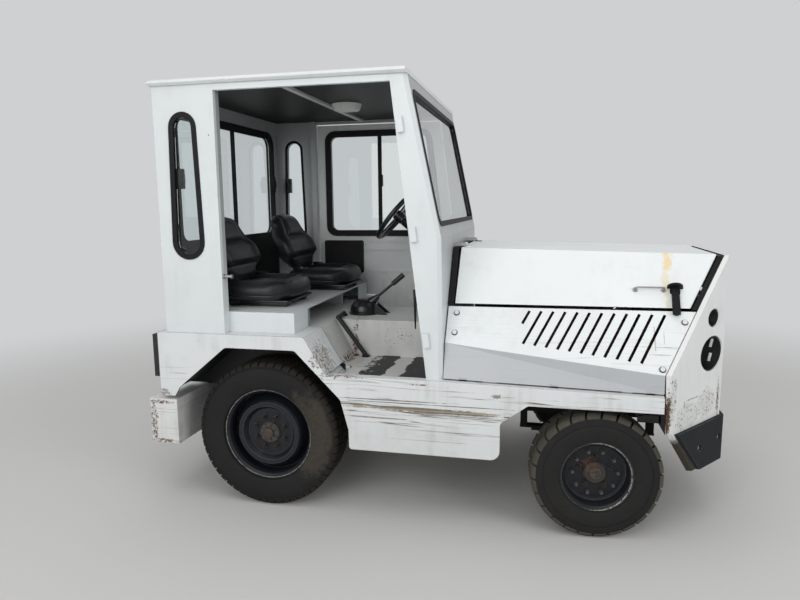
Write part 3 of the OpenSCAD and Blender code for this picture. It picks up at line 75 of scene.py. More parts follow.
def addCamera():
    yaw, pitch, roll = (math.radians(photoCamera[k]) for k in ("yaw", "pitch", "roll"))
    right = Vector((math.cos(yaw), math.sin(yaw), 0))
    ahead = Vector((-math.sin(yaw), math.cos(yaw), 0))
    level = Vector((0, 0, 1))
    forward = ahead * math.cos(pitch) - level * math.sin(pitch)
    above = level * math.cos(pitch) + ahead * math.sin(pitch)
    side = right * math.cos(roll) + above * math.sin(roll)
    upward = above * math.cos(roll) - right * math.sin(roll)
    bpy.ops.object.camera_add(location=(0, 0, 0))
    camera = bpy.context.object
    camera.name = "photoCamera"
    turn = Matrix((side, upward, -forward)).transposed().to_4x4()
    camera.matrix_world = Matrix.Translation(at(*photoCamera["place"])) @ turn
    camera.data.lens = photoCamera["lens"]
    camera.data.sensor_width = 36
    camera.data.clip_end = 200
    bpy.context.scene.camera = camera
    bpy.context.scene.view_settings.view_transform = "Standard"


def addLamps():
    for name, place, aim, size, power in studio["lamps"]:
        bpy.ops.object.light_add(type="AREA", location=at(*place))
        lamp = bpy.context.object
        lamp.name = name
        lamp.rotation_euler = (at(*aim) - at(*place)).to_track_quat("-Z", "Y").to_euler()
        lamp.data.size = size
        lamp.data.energy = power
        lamp.data.color = studio["lampColour"]
        lamp.visible_transmission = False
        lamp.visible_glossy = name not in studio["unseen"]


def seenByEye(tree):
    # 1 for what the camera sees straight, in a reflection or through glass
    path = tree.nodes.new("ShaderNodeLightPath")
    seen = most(tree, path.outputs["Is Camera Ray"], path.outputs["Is Glossy Ray"])
    return most(tree, seen, path.outputs["Is Transmission Ray"])


def addWorld():
    world = bpy.data.worlds.new("studioSky")
    bpy.context.scene.world = world
    world.use_nodes = True
    tree = world.node_tree
    tree.nodes.clear()
    seen = seenByEye(tree)
    dim = addNode(tree, "ShaderNodeBackground", {"Color": (1, 1, 1, 1), "Strength": studio["skyLight"]})
    pale = addNode(tree, "ShaderNodeBackground", {"Color": studio["backdrop"], "Strength": 1.0})
    mix = addNode(tree, "ShaderNodeMixShader", {0: seen, 1: dim.outputs[0], 2: pale.outputs[0]})
    addNode(tree, "ShaderNodeOutputWorld", {"Surface": mix.outputs[0]})


def addFloor():
    clearSelection()
    bpy.ops.mesh.primitive_plane_add(size=studio["floorSize"], location=(0, 0, 0))
    floor = bpy.context.object
    floor.name = "studioFloor"
    material, tree, shader, place = newMaterial("studioFloor")
    shader.inputs["Base Color"].default_value = studio["floorColour"]
    shader.inputs["Roughness"].default_value = 0.9
    away = addNode(tree, "ShaderNodeVectorMath", {0: place}, operation="LENGTH").outputs["Value"]
    seen = times(tree, addStep(tree, away, *studio["floorFade"]), seenByEye(tree))
    pale = addNode(tree, "ShaderNodeEmission", {"Color": studio["backdrop"], "Strength": 1.0})
    mix = addNode(tree, "ShaderNodeMixShader", {0: seen, 1: shader.outputs[0], 2: pale.outputs[0]})
    tree.links.new(mix.outputs[0], tree.nodes["Material Output"].inputs["Surface"])
    floor.data.materials.append(material)


# Small tools for building pieces and shader nodes

def clearSelection():
    bpy.ops.object.select_all(action="DESELECT")


def mode(name):
    bpy.ops.object.mode_set(mode=name)


def selectMesh(action):
    bpy.ops.mesh.select_all(action=action)


def pick(*pieces):
    clearSelection()
    for piece in pieces:
        piece.select_set(True)
    bpy.context.view_layer.objects.active = pieces[0]


def applyPlace(piece):
    pick(piece)
    bpy.ops.object.transform_apply(location=True, rotation=True, scale=True)


def applyModifiers(piece):
    pick(piece)
    for modifier in list(piece.modifiers):
        bpy.ops.object.modifier_apply(modifier=modifier.name)


def joinPieces(pieces):
    pick(*pieces)
    bpy.ops.object.join()
    return bpy.context.object


def addBlock(centre, size, bevel=0.002, turn=(0, 0, 0)):
    clearSelection()
    bpy.ops.mesh.primitive_cube_add(size=1, location=centre, rotation=turn, scale=size)
    piece = bpy.context.object
    bpy.ops.object.transform_apply(location=True, rotation=True, scale=True)
    if bevel > 0:
        mode("EDIT")
        selectMesh("SELECT")
        bpy.ops.mesh.bevel(offset=bevel, segments=2, affect="EDGES")
        mode("OBJECT")
    return piece


def addRound(centre, radius, length, axis, bevel, sides):
    clearSelection()
    turn = Vector((0, 0, 1)).rotation_difference(Vector(axis)).to_euler()
    bpy.ops.mesh.primitive_cone_add(vertices=sides, radius1=radius, radius2=radius, depth=length)
    piece = bpy.context.object
    mode("EDIT")
    selectMesh("DESELECT")
    mode("OBJECT")
    for face in piece.data.polygons:
        face.select = abs(face.normal.z) > 0.99
    mode("EDIT")
    bpy.ops.mesh.region_to_loop()
    bpy.ops.mesh.bevel(offset=bevel, segments=2, affect="EDGES")
    mode("OBJECT")
    piece.rotation_euler = turn
    piece.location = centre
    applyPlace(piece)
    return piece


def addTube(points, radius, corner):
    # a round bar along points, with bent corners
    path = []
    for i, point in enumerate(points):
        here = Vector(point)
        if 0 < i < len(points) - 1:
            before, after = Vector(points[i - 1]), Vector(points[i + 1])
            start = here + (before - here).normalized() * corner
            end = here + (after - here).normalized() * corner
            for k in range(7):
                t = k / 6
                path.append(start * (1 - t) ** 2 + here * 2 * t * (1 - t) + end * t ** 2)
        else:
            path.append(here)
    clearSelection()
    bpy.ops.curve.primitive_nurbs_path_add(location=(0, 0, 0))
    piece = bpy.context.object
    piece.data.splines.clear()
    spline = piece.data.splines.new("POLY")
    spline.points.add(len(path) - 1)
    for i, point in enumerate(path):
        spline.points[i].co = (*point, 1)
    piece.data.bevel_depth = radius
    piece.data.bevel_resolution = 2
    piece.data.use_fill_caps = True
    bpy.ops.object.convert(target="MESH")
    return bpy.context.object


def drawOutline(points):
    # one vertex drawn from point to point; edit mode stays on
    clearSelection()
    bpy.ops.mesh.primitive_plane_add(size=0.01, location=(0, 0, 0))
    piece = bpy.context.object
    mode("EDIT")
    selectMesh("SELECT")
    bpy.ops.mesh.merge(type="CENTER")
    bpy.ops.transform.translate(value=points[0])
    for here, ahead in zip(points, points[1:]):
        step = tuple(b - a for a, b in zip(here, ahead))
        bpy.ops.mesh.extrude_region_move(TRANSFORM_OT_translate={"value": step})
    return piece


def addLathe(profile, steps):
    # a closed profile of (radius, y) turned about the Y axis through the origin
    piece = drawOutline([(radius, y, 0) for radius, y in profile])
    selectMesh("SELECT")
    bpy.ops.mesh.spin(steps=steps, angle=2 * math.pi, center=(0, 0, 0), axis=(0, 1, 0))
    selectMesh("SELECT")
    bpy.ops.mesh.remove_doubles(threshold=0.00005)
    bpy.ops.mesh.normals_make_consistent(inside=False)
    mode("OBJECT")
    return piece


def ringOf(piece, count, centre=(0, 0, 0), axis=(0, 1, 0)):
    # copies of a piece all round an axis
    clearSelection()
    bpy.ops.object.empty_add(location=(0, 0, 0))
    handle = bpy.context.object
    middle = Matrix.Translation(centre)
    handle.matrix_world = middle @ Matrix.Rotation(2 * math.pi / count, 4, Vector(axis)) @ middle.inverted()
    bpy.context.view_layer.update()
    rows = piece.modifiers.new("row", "ARRAY")
    rows.count = count
    rows.use_relative_offset = False
    rows.use_object_offset = True
    rows.offset_object = handle
    applyModifiers(piece)
    bpy.data.objects.remove(handle)
    return piece


def finishPiece(piece, name, finish, body, smooth=35):
    piece.name = name
    piece.data.name = name
    piece.data.materials.clear()
    piece.data.materials.append(finishes[finish])
    pick(piece)
    bpy.ops.object.shade_smooth_by_angle(angle=math.radians(smooth))
    clearSelection()
    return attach(piece, body)


def addNode(tree, kind, inputs=None, **settings):
    made = tree.nodes.new(kind)
    for key, value in settings.items():
        setattr(made, key, value)
    for key, value in (inputs or {}).items():
        socket = made.inputs[key]
        if isinstance(value, bpy.types.NodeSocket):
            tree.links.new(value, socket)
        else:
            socket.default_value = value
    return made


def addMath(tree, operation, a, b=0.0, clamp=False):
    made = addNode(tree, "ShaderNodeMath", {0: a, 1: b}, operation=operation)
    made.use_clamp = clamp
    return made.outputs[0]


def times(tree, a, b, clamp=False):
    return addMath(tree, "MULTIPLY", a, b, clamp)


def plus(tree, a, b, clamp=False):
    return addMath(tree, "ADD", a, b, clamp)


def minus(tree, a, b):
    return addMath(tree, "SUBTRACT", a, b)


def flip(tree, value):
    return addMath(tree, "SUBTRACT", 1.0, value)


def most(tree, a, b):
    return addMath(tree, "MAXIMUM", a, b)


def absolute(tree, value):
    return addMath(tree, "ABSOLUTE", value)


def split(tree, vector):
    return addNode(tree, "ShaderNodeSeparateXYZ", {0: vector}).outputs


def facing(tree):
    # the parts of the surface's normal
    return split(tree, addNode(tree, "ShaderNodeNewGeometry").outputs["Normal"])


def addMix(tree, factor, a, b):
    made = tree.nodes.new("ShaderNodeMix")
    made.data_type = "RGBA"
    for socket, value in ((made.inputs[0], factor), (made.inputs[6], a), (made.inputs[7], b)):
        if isinstance(value, bpy.types.NodeSocket):
            tree.links.new(value, socket)
        else:
            socket.default_value = value
    return made.outputs[2]


def addStep(tree, value, low, high):
    # rises smoothly from 0 at low to 1 at high
    made = addNode(tree, "ShaderNodeMapRange", {"Value": value, "From Min": low, "From Max": high},
                   interpolation_type="SMOOTHSTEP")
    return made.outputs["Result"]


def addNoise(tree, vector, scale, detail=3.0, roughness=0.55):
    made = addNode(tree, "ShaderNodeTexNoise",
                   {"Vector": vector, "Scale": scale, "Detail": detail, "Roughness": roughness})
    return made.outputs[0]


def addStretch(tree, vector, scale, offset=(0, 0, 0)):
    made = addNode(tree, "ShaderNodeMapping", {"Vector": vector, "Scale": scale, "Location": offset})
    return made.outputs[0]


def newGroup(name, inputs, outputs):
    group = bpy.data.node_groups.new(name, "ShaderNodeTree")
    kinds = {"value": "NodeSocketFloat", "colour": "NodeSocketColor", "vector": "NodeSocketVector"}
    for label, kind, value in inputs:
        socket = group.interface.new_socket(label, in_out="INPUT", socket_type=kinds[kind])
        if value is not None:
            socket.default_value = value
    for label, kind in outputs:
        group.interface.new_socket(label, in_out="OUTPUT", socket_type=kinds[kind])
    start = group.nodes.new("NodeGroupInput")
    end = group.nodes.new("NodeGroupOutput")
    return group, start.outputs, end.inputs


def useGroup(tree, group, inputs):
    return addNode(tree, "ShaderNodeGroup", inputs, node_tree=group).outputs


def useEffect(tree, name, place, **values):
    return useGroup(tree, effects[name], {"Vector": place, **values})


# Shared shader effects

def buildEdgeWear():
    # a mask that is 1 on worn outer edges, broken up by noise
    group, given, out = newGroup("edgeWear", [
        ("Vector", "vector", None), ("Width", "value", 0.004), ("Amount", "value", 0.5),
        ("Grain", "value", 60.0)], [("Mask", "value")])
    rounded = addNode(group, "ShaderNodeBevel", {"Radius": given["Width"]}, samples=4)
    flat = addNode(group, "ShaderNodeNewGeometry")
    match = addNode(group, "ShaderNodeVectorMath",
                    {0: rounded.outputs[0], 1: flat.outputs["Normal"]}, operation="DOT_PRODUCT")
    edge = flip(group, match.outputs["Value"])
    edge = addStep(group, edge, 0.03, 0.25)
    patchy = addNoise(group, given["Vector"], given["Grain"], 4.0, 0.7)
    region = addNoise(group, given["Vector"], 3.5, 2.0)
    cover = plus(group, times(group, patchy, 0.6),
                    times(group, region, 0.5))
    cover = plus(group, cover, times(group, given["Amount"], 0.5))
    cover = addStep(group, cover, 0.72, 0.82)
    group.links.new(times(group, edge, cover), out["Mask"])
    return group


def buildRust():
    # chips that show brown metal, gathered in patches
    group, given, out = newGroup("rustPatches", [
        ("Vector", "vector", None), ("Amount", "value", 0.2), ("Grain", "value", 30.0)],
        [("Mask", "value"), ("Colour", "colour")])
    grain = addNoise(group, given["Vector"], given["Grain"], 6.0, 0.7)
    patch = addNoise(group, addStretch(group, given["Vector"], (1, 1, 1), (3, 7, 1)), 2.6, 3.0)
    value = plus(group, grain, times(group, patch, 0.9))
    value = plus(group, value, given["Amount"])
    group.links.new(addStep(group, value, 1.42, 1.5), out["Mask"])
    shade = addNoise(group, given["Vector"], 90.0, 3.0)
    group.links.new(addMix(group, shade, (0.16, 0.06, 0.025, 1), (0.05, 0.03, 0.022, 1)), out["Colour"])
    return group


def buildScratches():
    # long level scrapes within a band of height
    group, given, out = newGroup("scrapes", [
        ("Vector", "vector", None), ("Amount", "value", 0.5), ("Height", "value", 0.6),
        ("Spread", "value", 0.1)], [("Mask", "value")])
    parts = split(group, given["Vector"])
    wave = addNoise(group, addStretch(group, given["Vector"], (1.2, 1.2, 1.2)), 1.0, 1.0)
    lifted = plus(group, parts[2], times(group, wave, 0.06))
    lines = addNode(group, "ShaderNodeCombineXYZ", {0: times(group, parts[0], 0.55),
                                                    2: times(group, lifted, 34.0)})
    noise = addNoise(group, lines.outputs[0], 1.0, 3.0, 0.6)
    line = absolute(group, minus(group, noise, 0.5))
    line = flip(group, addStep(group, line, 0.006, 0.02))
    away = absolute(group, minus(group, parts[2], given["Height"]))
    band = flip(group, addStep(group, away, times(group, given["Spread"], 0.4),
                                                   given["Spread"]))
    broken = addStep(group, addNoise(group, addStretch(group, given["Vector"], (2.2, 2.2, 26)), 1.0, 4.0, 0.65),
                     0.42, 0.56)
    mask = times(group, times(group, line, band), broken)
    group.links.new(times(group, mask, given["Amount"]), out["Mask"])
    return group


def buildGrime():
    # soft dirt with drips, thicker towards the ground
    group, given, out = newGroup("grime", [
        ("Vector", "vector", None), ("Amount", "value", 0.4), ("Low", "value", 0.3),
        ("High", "value", 1.0)], [("Mask", "value")])
    parts = split(group, given["Vector"])
    low = flip(group, addStep(group, parts[2], given["Low"], given["High"]))
    cloud = addNoise(group, given["Vector"], 4.0, 5.0, 0.6)
    drips = addNoise(group, addStretch(group, given["Vector"], (24, 24, 1.5)), 1.0, 3.0)
    cover = times(group, addStep(group, cloud, 0.42, 0.75), addStep(group, drips, 0.35, 0.7))
    cover = plus(group, times(group, cover, 0.75),
                    times(group, times(group, low, cloud), 0.7))
    group.links.new(times(group, cover, given["Amount"], clamp=True), out["Mask"])
    return group


def buildGrain():
    # fine pitting as a height, for cast, moulded and leathery surfaces
    group, given, out = newGroup("fineGrain", [
        ("Vector", "vector", None), ("Grain", "value", 400.0), ("Soft", "value", 0.5)],
        [("Height", "value")])
    fine = addNode(group, "ShaderNodeTexVoronoi", {"Vector": given["Vector"], "Scale": given["Grain"]})
    rough = addNoise(group, given["Vector"], times(group, given["Grain"], 0.4), 3.0)
    mixed = addNode(group, "ShaderNodeMix", {0: given["Soft"], 2: fine.outputs["Distance"], 3: rough})
    group.links.new(mixed.outputs[0], out["Height"])
    return group


def buildBlot():
    # one ragged patch at a place, 1 in its middle
    group, given, out = newGroup("blot", [
        ("Vector", "vector", None), ("Place", "vector", (0, 0, 0)), ("Size", "vector", (0.1, 0.1, 0.1)),
        ("Ragged", "value", 0.6), ("Grain", "value", 40.0)], [("Mask", "value")])
    off = addNode(group, "ShaderNodeVectorMath", {0: given["Vector"], 1: given["Place"]}, operation="SUBTRACT")
    off = addNode(group, "ShaderNodeVectorMath", {0: off.outputs[0], 1: given["Size"]}, operation="DIVIDE")
    far = addNode(group, "ShaderNodeVectorMath", {0: off.outputs[0]}, operation="LENGTH").outputs["Value"]
    wobble = minus(group, addNoise(group, given["Vector"], given["Grain"], 5.0, 0.7), 0.5)
    far = plus(group, far, times(group, wobble, times(group, given["Ragged"], 4.0)))
    group.links.new(flip(group, addStep(group, far, 0.70, 1.0)), out["Mask"])
    return group


def buildInsideShade():
    # painted shade: 1 on faces that look towards the tug's middle, down or back, which turn black
    group, given, out = newGroup("insideShadeFaces", [
        ("Vector", "vector", None), ("Inward", "value", 1.0), ("Downward", "value", 1.0),
        ("Backward", "value", 0.0)], [("Mask", "value")])
    normal = facing(group)
    place = split(group, given["Vector"])
    side = addMath(group, "SIGN", place[1])
    inward = times(group, times(group, normal[1], side), -1.0)
    inward = times(group, addStep(group, inward, 0.25, 0.40), given["Inward"])
    downward = times(group, addStep(group, times(group, normal[2], -1.0), 0.25, 0.40),
                       given["Downward"])
    backward = times(group, addStep(group, times(group, normal[0], -1.0), 0.25, 0.40),
                       given["Backward"])
    group.links.new(most(group, most(group, inward, downward), backward), out["Mask"])
    return group


# Finishes

paints = {
    # colour, roughness, rust, edge wear, scrapes (amount, height, spread), grime (amount, low, high),
    # painted shade, black on inner faces (inward, downward, backward)
    "cabPaint": ((0.66, 0.70, 0.72), 0.34, -0.10, 0.25, (0.0, 0.6, 0.1), (0.22, 0.4, 1.2), None),
    "roofPaint": ((0.66, 0.69, 0.70), 0.40, -0.06, 0.35, (0.0, 0.6, 0.1), (0.35, 0.4, 1.2), None),
    "sillPaint": ((0.66, 0.69, 0.705), 0.40, 0.05, 0.75, (1.0, 0.575, 0.17), (0.45, 0.3, 0.8), (1, 1, 0)),
    "bumperPaint": ((0.70, 0.72, 0.72), 0.45, 0.10, 1.0, (0.5, 0.42, 0.2), (0.4, 0.2, 0.9), None),
    "hoodPaint": ((0.74, 0.775, 0.79), 0.32, -0.14, 0.2, (0.0, 0.6, 0.1), (0.12, 0.5, 1.2), (1, 1, 0)),
    "panelPaint": ((0.72, 0.755, 0.775), 0.34, -0.10, 0.25, (0.15, 0.85, 0.2), (0.18, 0.5, 1.1), (1, 1, 0)),
    "nosePaint": ((0.70, 0.725, 0.73), 0.40, 0.00, 0.8, (0.0, 0.6, 0.1), (0.2, 0.4, 0.9), (1, 0, 1)),
    "doorPaint": ((0.60, 0.625, 0.63), 0.45, -0.06, 0.3, (0.0, 0.6, 0.1), (0.35, 0.6, 1.3), None),
}
markColours = {
    "rust": ((0.17, 0.065, 0.025), (0.035, 0.017, 0.011)),
    "stain": ((0.72, 0.50, 0.17), (0.78, 0.63, 0.34)),
    "brown": ((0.10, 0.045, 0.022), (0.05, 0.026, 0.016)),
    "shade": ((0.030, 0.026, 0.020), (0.055, 0.046, 0.034)),
    "line": ((0.20, 0.14, 0.08), (0.32, 0.25, 0.17)),
    "tan": ((0.34, 0.28, 0.17), (0.22, 0.18, 0.12)),
    "scratch": ((0.12, 0.10, 0.085), (0.22, 0.19, 0.16)),
    "dust": ((0.10, 0.085, 0.065), (0.05, 0.045, 0.04)),
    "black": ((0.006, 0.006, 0.007), (0.012, 0.012, 0.012)),
    "hub": ((0.055, 0.045, 0.036), (0.030, 0.024, 0.019)),
}
sillScrapes = [
    # what it is, middle x and z on the near sill, half length, half height, raggedness, grain, strength
    ("tan", 0.80, 0.571, 0.44, 0.0085, 0.45, 22, 0.9),
    ("scratch", 0.72, 0.580, 0.42, 0.0040, 0.45, 30, 1.0),
    ("scratch", 0.98, 0.563, 0.30, 0.0045, 0.55, 30, 1.0),
    ("black", 0.66, 0.6005, 0.26, 0.0022, 0.35, 30, 0.9),
    ("black", 1.02, 0.552, 0.24, 0.0020, 0.35, 30, 0.8),
    ("line", 0.98, 0.672, 0.10, 0.0014, 0.9, 30, 0.8),
    ("scratch", 1.17, 0.660, 0.030, 0.010, 1.0, 60, 0.8),
    ("scratch", 0.66, 0.612, 0.32, 0.0035, 0.30, 25, 0.9),
    ("scratch", 1.02, 0.600, 0.26, 0.0030, 0.30, 25, 0.9),
    ("scratch", 0.80, 0.575, 0.30, 0.0035, 0.35, 25, 0.9),
    ("scratch", 1.10, 0.545, 0.22, 0.0030, 0.35, 25, 0.8),
    ("scratch", 0.62, 0.520, 0.18, 0.0040, 0.40, 25, 0.8),
    ("scratch", 0.95, 0.470, 0.26, 0.0022, 0.30, 25, 0.6),
    ("scratch", 0.85, 0.420, 0.22, 0.0020, 0.30, 25, 0.5),
]


def bothRims(kind, xs, out, z, size, ragged, grain, strength):
    # the same mark on the near and the far wheel
    return [(kind, (x, side * out, z), size, ragged, grain, strength) for x, side in zip(xs, (-1, 1))]


marks = {
    # what it is, its middle from the rear axle, its half size, raggedness, grain, strength
    "hoodPaint": [
        ("stain", (1.950, -0.37, 1.26), (0.018, 0.09, 0.045), 0.9, 18, 0.6),
        ("stain", (1.950, -0.37, 1.27), (0.032, 0.09, 0.060), 0.9, 14, 0.25),
        ("stain", (1.934, -0.44, 1.17), (0.015, 0.13, 0.13), 1.0, 22, 0.4)],
    "panelPaint": [
        ("line", (1.90, -0.63, 0.90), (0.10, 0.10, 0.0016), 1.4, 14, 0.6),
        ("line", (1.87, -0.64, 0.93), (0.0022, 0.10, 0.08), 1.2, 16, 0.6),
        ("line", (1.91, -0.63, 0.95), (0.0020, 0.10, 0.05), 1.2, 18, 0.5),
        ("line", (1.88, -0.64, 0.87), (0.07, 0.10, 0.0016), 1.4, 18, 0.5)]
    # painted shade: the tabs in the seam are black, continuing the seam's shadow line
    + [("black", (x, side * 0.72, z), (0.034, 0.05, 0.006), 0.0, 10, 1.0)      # the tabs in the seam
       for side in (-1, 1) for x, z in ((1.010, 0.7214), (1.4285, 0.7120), (1.847, 0.7027))],
    "nosePaint": [
        ("brown", (1.924, -0.715, 0.60), (0.011, 0.06, 0.095), 0.55, 70, 0.9),
        ("rust", (1.924, -0.715, 0.60), (0.018, 0.06, 0.110), 0.5, 90, 1.0),
        ("rust", (1.922, -0.715, 0.49), (0.012, 0.05, 0.04), 0.30, 90, 0.9),
        ("rust", (2.055, -0.56, 0.648), (0.055, 0.08, 0.0035), 0.25, 90, 0.9),
        ("rust", (2.010, -0.62, 0.632), (0.004, 0.02, 0.02), 0.2, 90, 0.9),
        ("specks", (2.03, -0.60, 0.57), (0.11, 0.14, 0.075), 0.3, 30, 1.0),
        ("specks", (2.14, -0.46, 0.60), (0.08, 0.12, 0.080), 0.3, 30, 1.0),
        ("specks", (1.94, -0.70, 0.68), (0.03, 0.05, 0.12), 0.3, 30, 1.0),
        ("rust", (2.212, -0.365, 0.60), (0.010, 0.03, 0.10), 0.8, 90, 1.0)]
    + [("shade", (1.99, side * 0.66, 0.33), (0.26, 0.26, 0.175), 0.08, 30, 1.0) for side in (-1, 1)],
    "sillPaint": [(kind, (x, -0.74, z), (half, 0.05, high), ragged, grain, strength)
                  for kind, x, z, half, high, ragged, grain, strength in sillScrapes] + [
        ("rust", (0.80, -0.75, 0.697), (0.055, 0.03, 0.004), 0.25, 60, 1.0),
        ("rust", (0.384, -0.50, 0.705), (0.012, 0.30, 0.02), 0.6, 60, 1.0),
        ("rust", (0.30, -0.66, 0.78), (0.10, 0.10, 0.09), 1.0, 45, 0.8),
        ("rust", (0.42, -0.745, 0.716), (0.14, 0.04, 0.006), 0.5, 60, 0.8),
        ("rust", (-0.56, -0.75, 0.57), (0.05, 0.04, 0.035), 0.8, 60, 0.7),
        ("rust", (-0.42, -0.75, 0.60), (0.05, 0.04, 0.020), 0.9, 60, 0.6)],
    "bumperPaint": [
        ("rust", (-0.60, -0.75, 0.528), (0.10, 0.05, 0.010), 0.6, 60, 1.0),
        ("rust", (-0.63, -0.75, 0.42), (0.020, 0.05, 0.12), 0.8, 60, 0.9),
        ("rust", (-0.58, -0.75, 0.315), (0.09, 0.06, 0.012), 0.6, 60, 0.9)],
    "cabPaint": [
        ("black", (-0.2375, -0.73, 1.8902), (0.004, 0.02, 0.004), 0.0, 40, 0.9)],
    "tyreRubber": [
        ("dust", (0.24, -0.70, 0.40), (0.17, 0.12, 0.26), 0.35, 9, 0.55),
        ("dust", (1.59, -0.75, 0.30), (0.34, 0.10, 0.34), 0.6, 9, 0.06)],
    "rimPaint": bothRims("dust", (0.0, 0.0), 0.68, 0.38, (0.062, 0.10, 0.062), 0.25, 40, 0.45)
    + bothRims("rust", (0.0, 0.0), 0.71, 0.38, (0.024, 0.03, 0.024), 0.25, 60, 0.8)
    + bothRims("hub", (1.624, 1.586), 0.69, 0.30, (0.060, 0.09, 0.060), 0.10, 40, 0.85)
    + bothRims("rust", (1.606, 1.606), 0.69, 0.335, (0.040, 0.09, 0.040), 0.5, 60, 0.75)
    + [("dust", (1.620, -0.72, 0.295), (0.018, 0.03, 0.018), 0.5, 60, 0.9)],
}


def addMarks(tree, base, place, name):
    # single stains, rust patches and scratches laid over a colour, and one mask of all of them
    every = None
    for kind, middle, size, ragged, grain, strength in marks.get(name, []):
        blot = useEffect(tree, "blot", place, Place=at(*middle), Size=size,
                                                Ragged=ragged, Grain=grain)["Mask"]
        one, two = markColours["rust" if kind == "specks" else kind]
        colour = addMix(tree, addNoise(tree, place, 70.0, 3.0), one + (1,), two + (1,))
        if kind in ("rust", "specks"):       # chips, not an even film
            low = 0.48 if kind == "rust" else 0.545
            chips = addStep(tree, addNoise(tree, place, 75.0, 8.0, 0.8), low, low + 0.04)
            film = plus(tree, times(tree, chips, 0.92), 0.08)
            blot = times(tree, blot, film)
        blot = times(tree, blot, strength)
        base = addMix(tree, blot, base, colour)
        every = blot if every is None else most(tree, every, blot)
    return base, every if every is not None else times(tree, 0.0, 0.0)


def newMaterial(name):
    material = bpy.data.materials.new(name)
    material.use_nodes = True
    tree = material.node_tree
    place = addNode(tree, "ShaderNodeTexCoord").outputs["Object"]
    return material, tree, tree.nodes["Principled BSDF"], place


def setBump(tree, shader, height, strength, distance):
    bump = addNode(tree, "ShaderNodeBump", {"Height": height, "Strength": strength, "Distance": distance})
    tree.links.new(bump.outputs[0], shader.inputs["Normal"])


housing = {"plate": 0.700, "deck": 0.890, "front": 0.35, "sill": 0.600}    # half width, heights, x
crease = {"slope": 0.0982, "x": 0.914, "z": 0.888}                         # a point on it and its fall


def archShadeMask(tree, place):
    # the wheel housings behind the outer plates, below the deck, painted black as shade
    front = housing["front"] - axleToMiddle
    parts = split(tree, place)
    behind = flip(tree, addStep(tree, absolute(tree, parts[1]), housing["plate"], housing["plate"] + 0.004))
    low = flip(tree, addStep(tree, parts[2], housing["deck"], housing["deck"] + 0.008))
    rear = flip(tree, addStep(tree, parts[0], front, front + 0.01))
    under = flip(tree, addStep(tree, parts[2], housing["sill"], housing["sill"] + 0.010))
    normal = facing(tree)
    notUp = flip(tree, addStep(tree, normal[2], 0.20, 0.30))
    behind = times(tree, behind, notUp)
    return times(tree, behind, most(tree, times(tree, low, rear), under))


def creaseShadeMask(tree, place):
    # the side panel's folded skirt, below the crease, which gets painted shade
    parts = split(tree, place)
    height = plus(tree, parts[2], times(tree, parts[0], crease["slope"]))
    level = crease["z"] + crease["slope"] * (crease["x"] - axleToMiddle)
    return flip(tree, addStep(tree, height, level - 0.002, level + 0.001))


def cabShadeMask(tree, place):
    # 1 inside the cab, where the walls get painted shade
    parts = split(tree, place)
    inside = flip(tree, addStep(tree, absolute(tree, parts[1]), 0.704, 0.708))
    inside = times(tree, inside, addStep(tree, parts[0], -0.514 - axleToMiddle, -0.508 - axleToMiddle))
    return times(tree, inside, addStep(tree, parts[2], 1.0, 1.5))


def paintMaterial(name, values):
    colour, roughness, rust, edges, scrapes, grime, inner = values
    material, tree, shader, place = newMaterial(name)
    tone = addNoise(tree, place, 1.7, 3.0)
    deep, pale = (tuple(c * k for c in colour) + (1,) for k in (0.93, 1.06))
    base = addMix(tree, tone, deep, pale)
    dirt = useEffect(tree, "grime", place, Amount=grime[0], Low=grime[1], High=grime[2])
    base = addMix(tree, dirt["Mask"], base, (0.23, 0.21, 0.18, 1))
    scrape = useEffect(tree, "scrapes", place, Amount=scrapes[0], Height=scrapes[1],
                                                 Spread=scrapes[2])
    base = addMix(tree, scrape["Mask"], base, (0.13, 0.105, 0.085, 1))
    patches = useEffect(tree, "rust", place, Amount=rust)
    worn = useEffect(tree, "edge", place, Amount=edges)
    bare = most(tree, patches["Mask"], worn["Mask"])
    base = addMix(tree, bare, base, patches["Colour"])
    # painted shade: darker skirt below the crease
    if name == "panelPaint":
        base = addMix(tree, times(tree, creaseShadeMask(tree, place), 0.75), base, (0.34, 0.355, 0.375, 1))
    # painted shade: darker walls inside the cab
    if name == "cabPaint":
        base = addMix(tree, times(tree, cabShadeMask(tree, place), 0.55), base, (0.10, 0.10, 0.095, 1))
    base, spots = addMarks(tree, base, place, name)
    bare = most(tree, bare, spots)
    # painted shade: inner faces, and on the sills the wheel housings, turn black
    if inner:
        inside = useEffect(tree, "inside", place, Inward=inner[0], Downward=inner[1],
                                                    Backward=inner[2])["Mask"]
        if name == "sillPaint":
            inside = most(tree, inside, archShadeMask(tree, place))
        base = addMix(tree, inside, base, (0.008, 0.008, 0.009, 1))
    tree.links.new(base, shader.inputs["Base Color"])
    rough = plus(tree, roughness, times(tree, bare, 0.45))
    rough = plus(tree, rough, times(tree, dirt["Mask"], 0.25), clamp=True)
    tree.links.new(rough, shader.inputs["Roughness"])
    shader.inputs["Specular IOR Level"].default_value = 0.35
    dents = addNoise(tree, place, 5.0, 2.0)
    height = minus(tree, times(tree, dents, 0.6), times(tree, bare, 0.25))
    setBump(tree, shader, height, 0.25, 0.004)
    return material


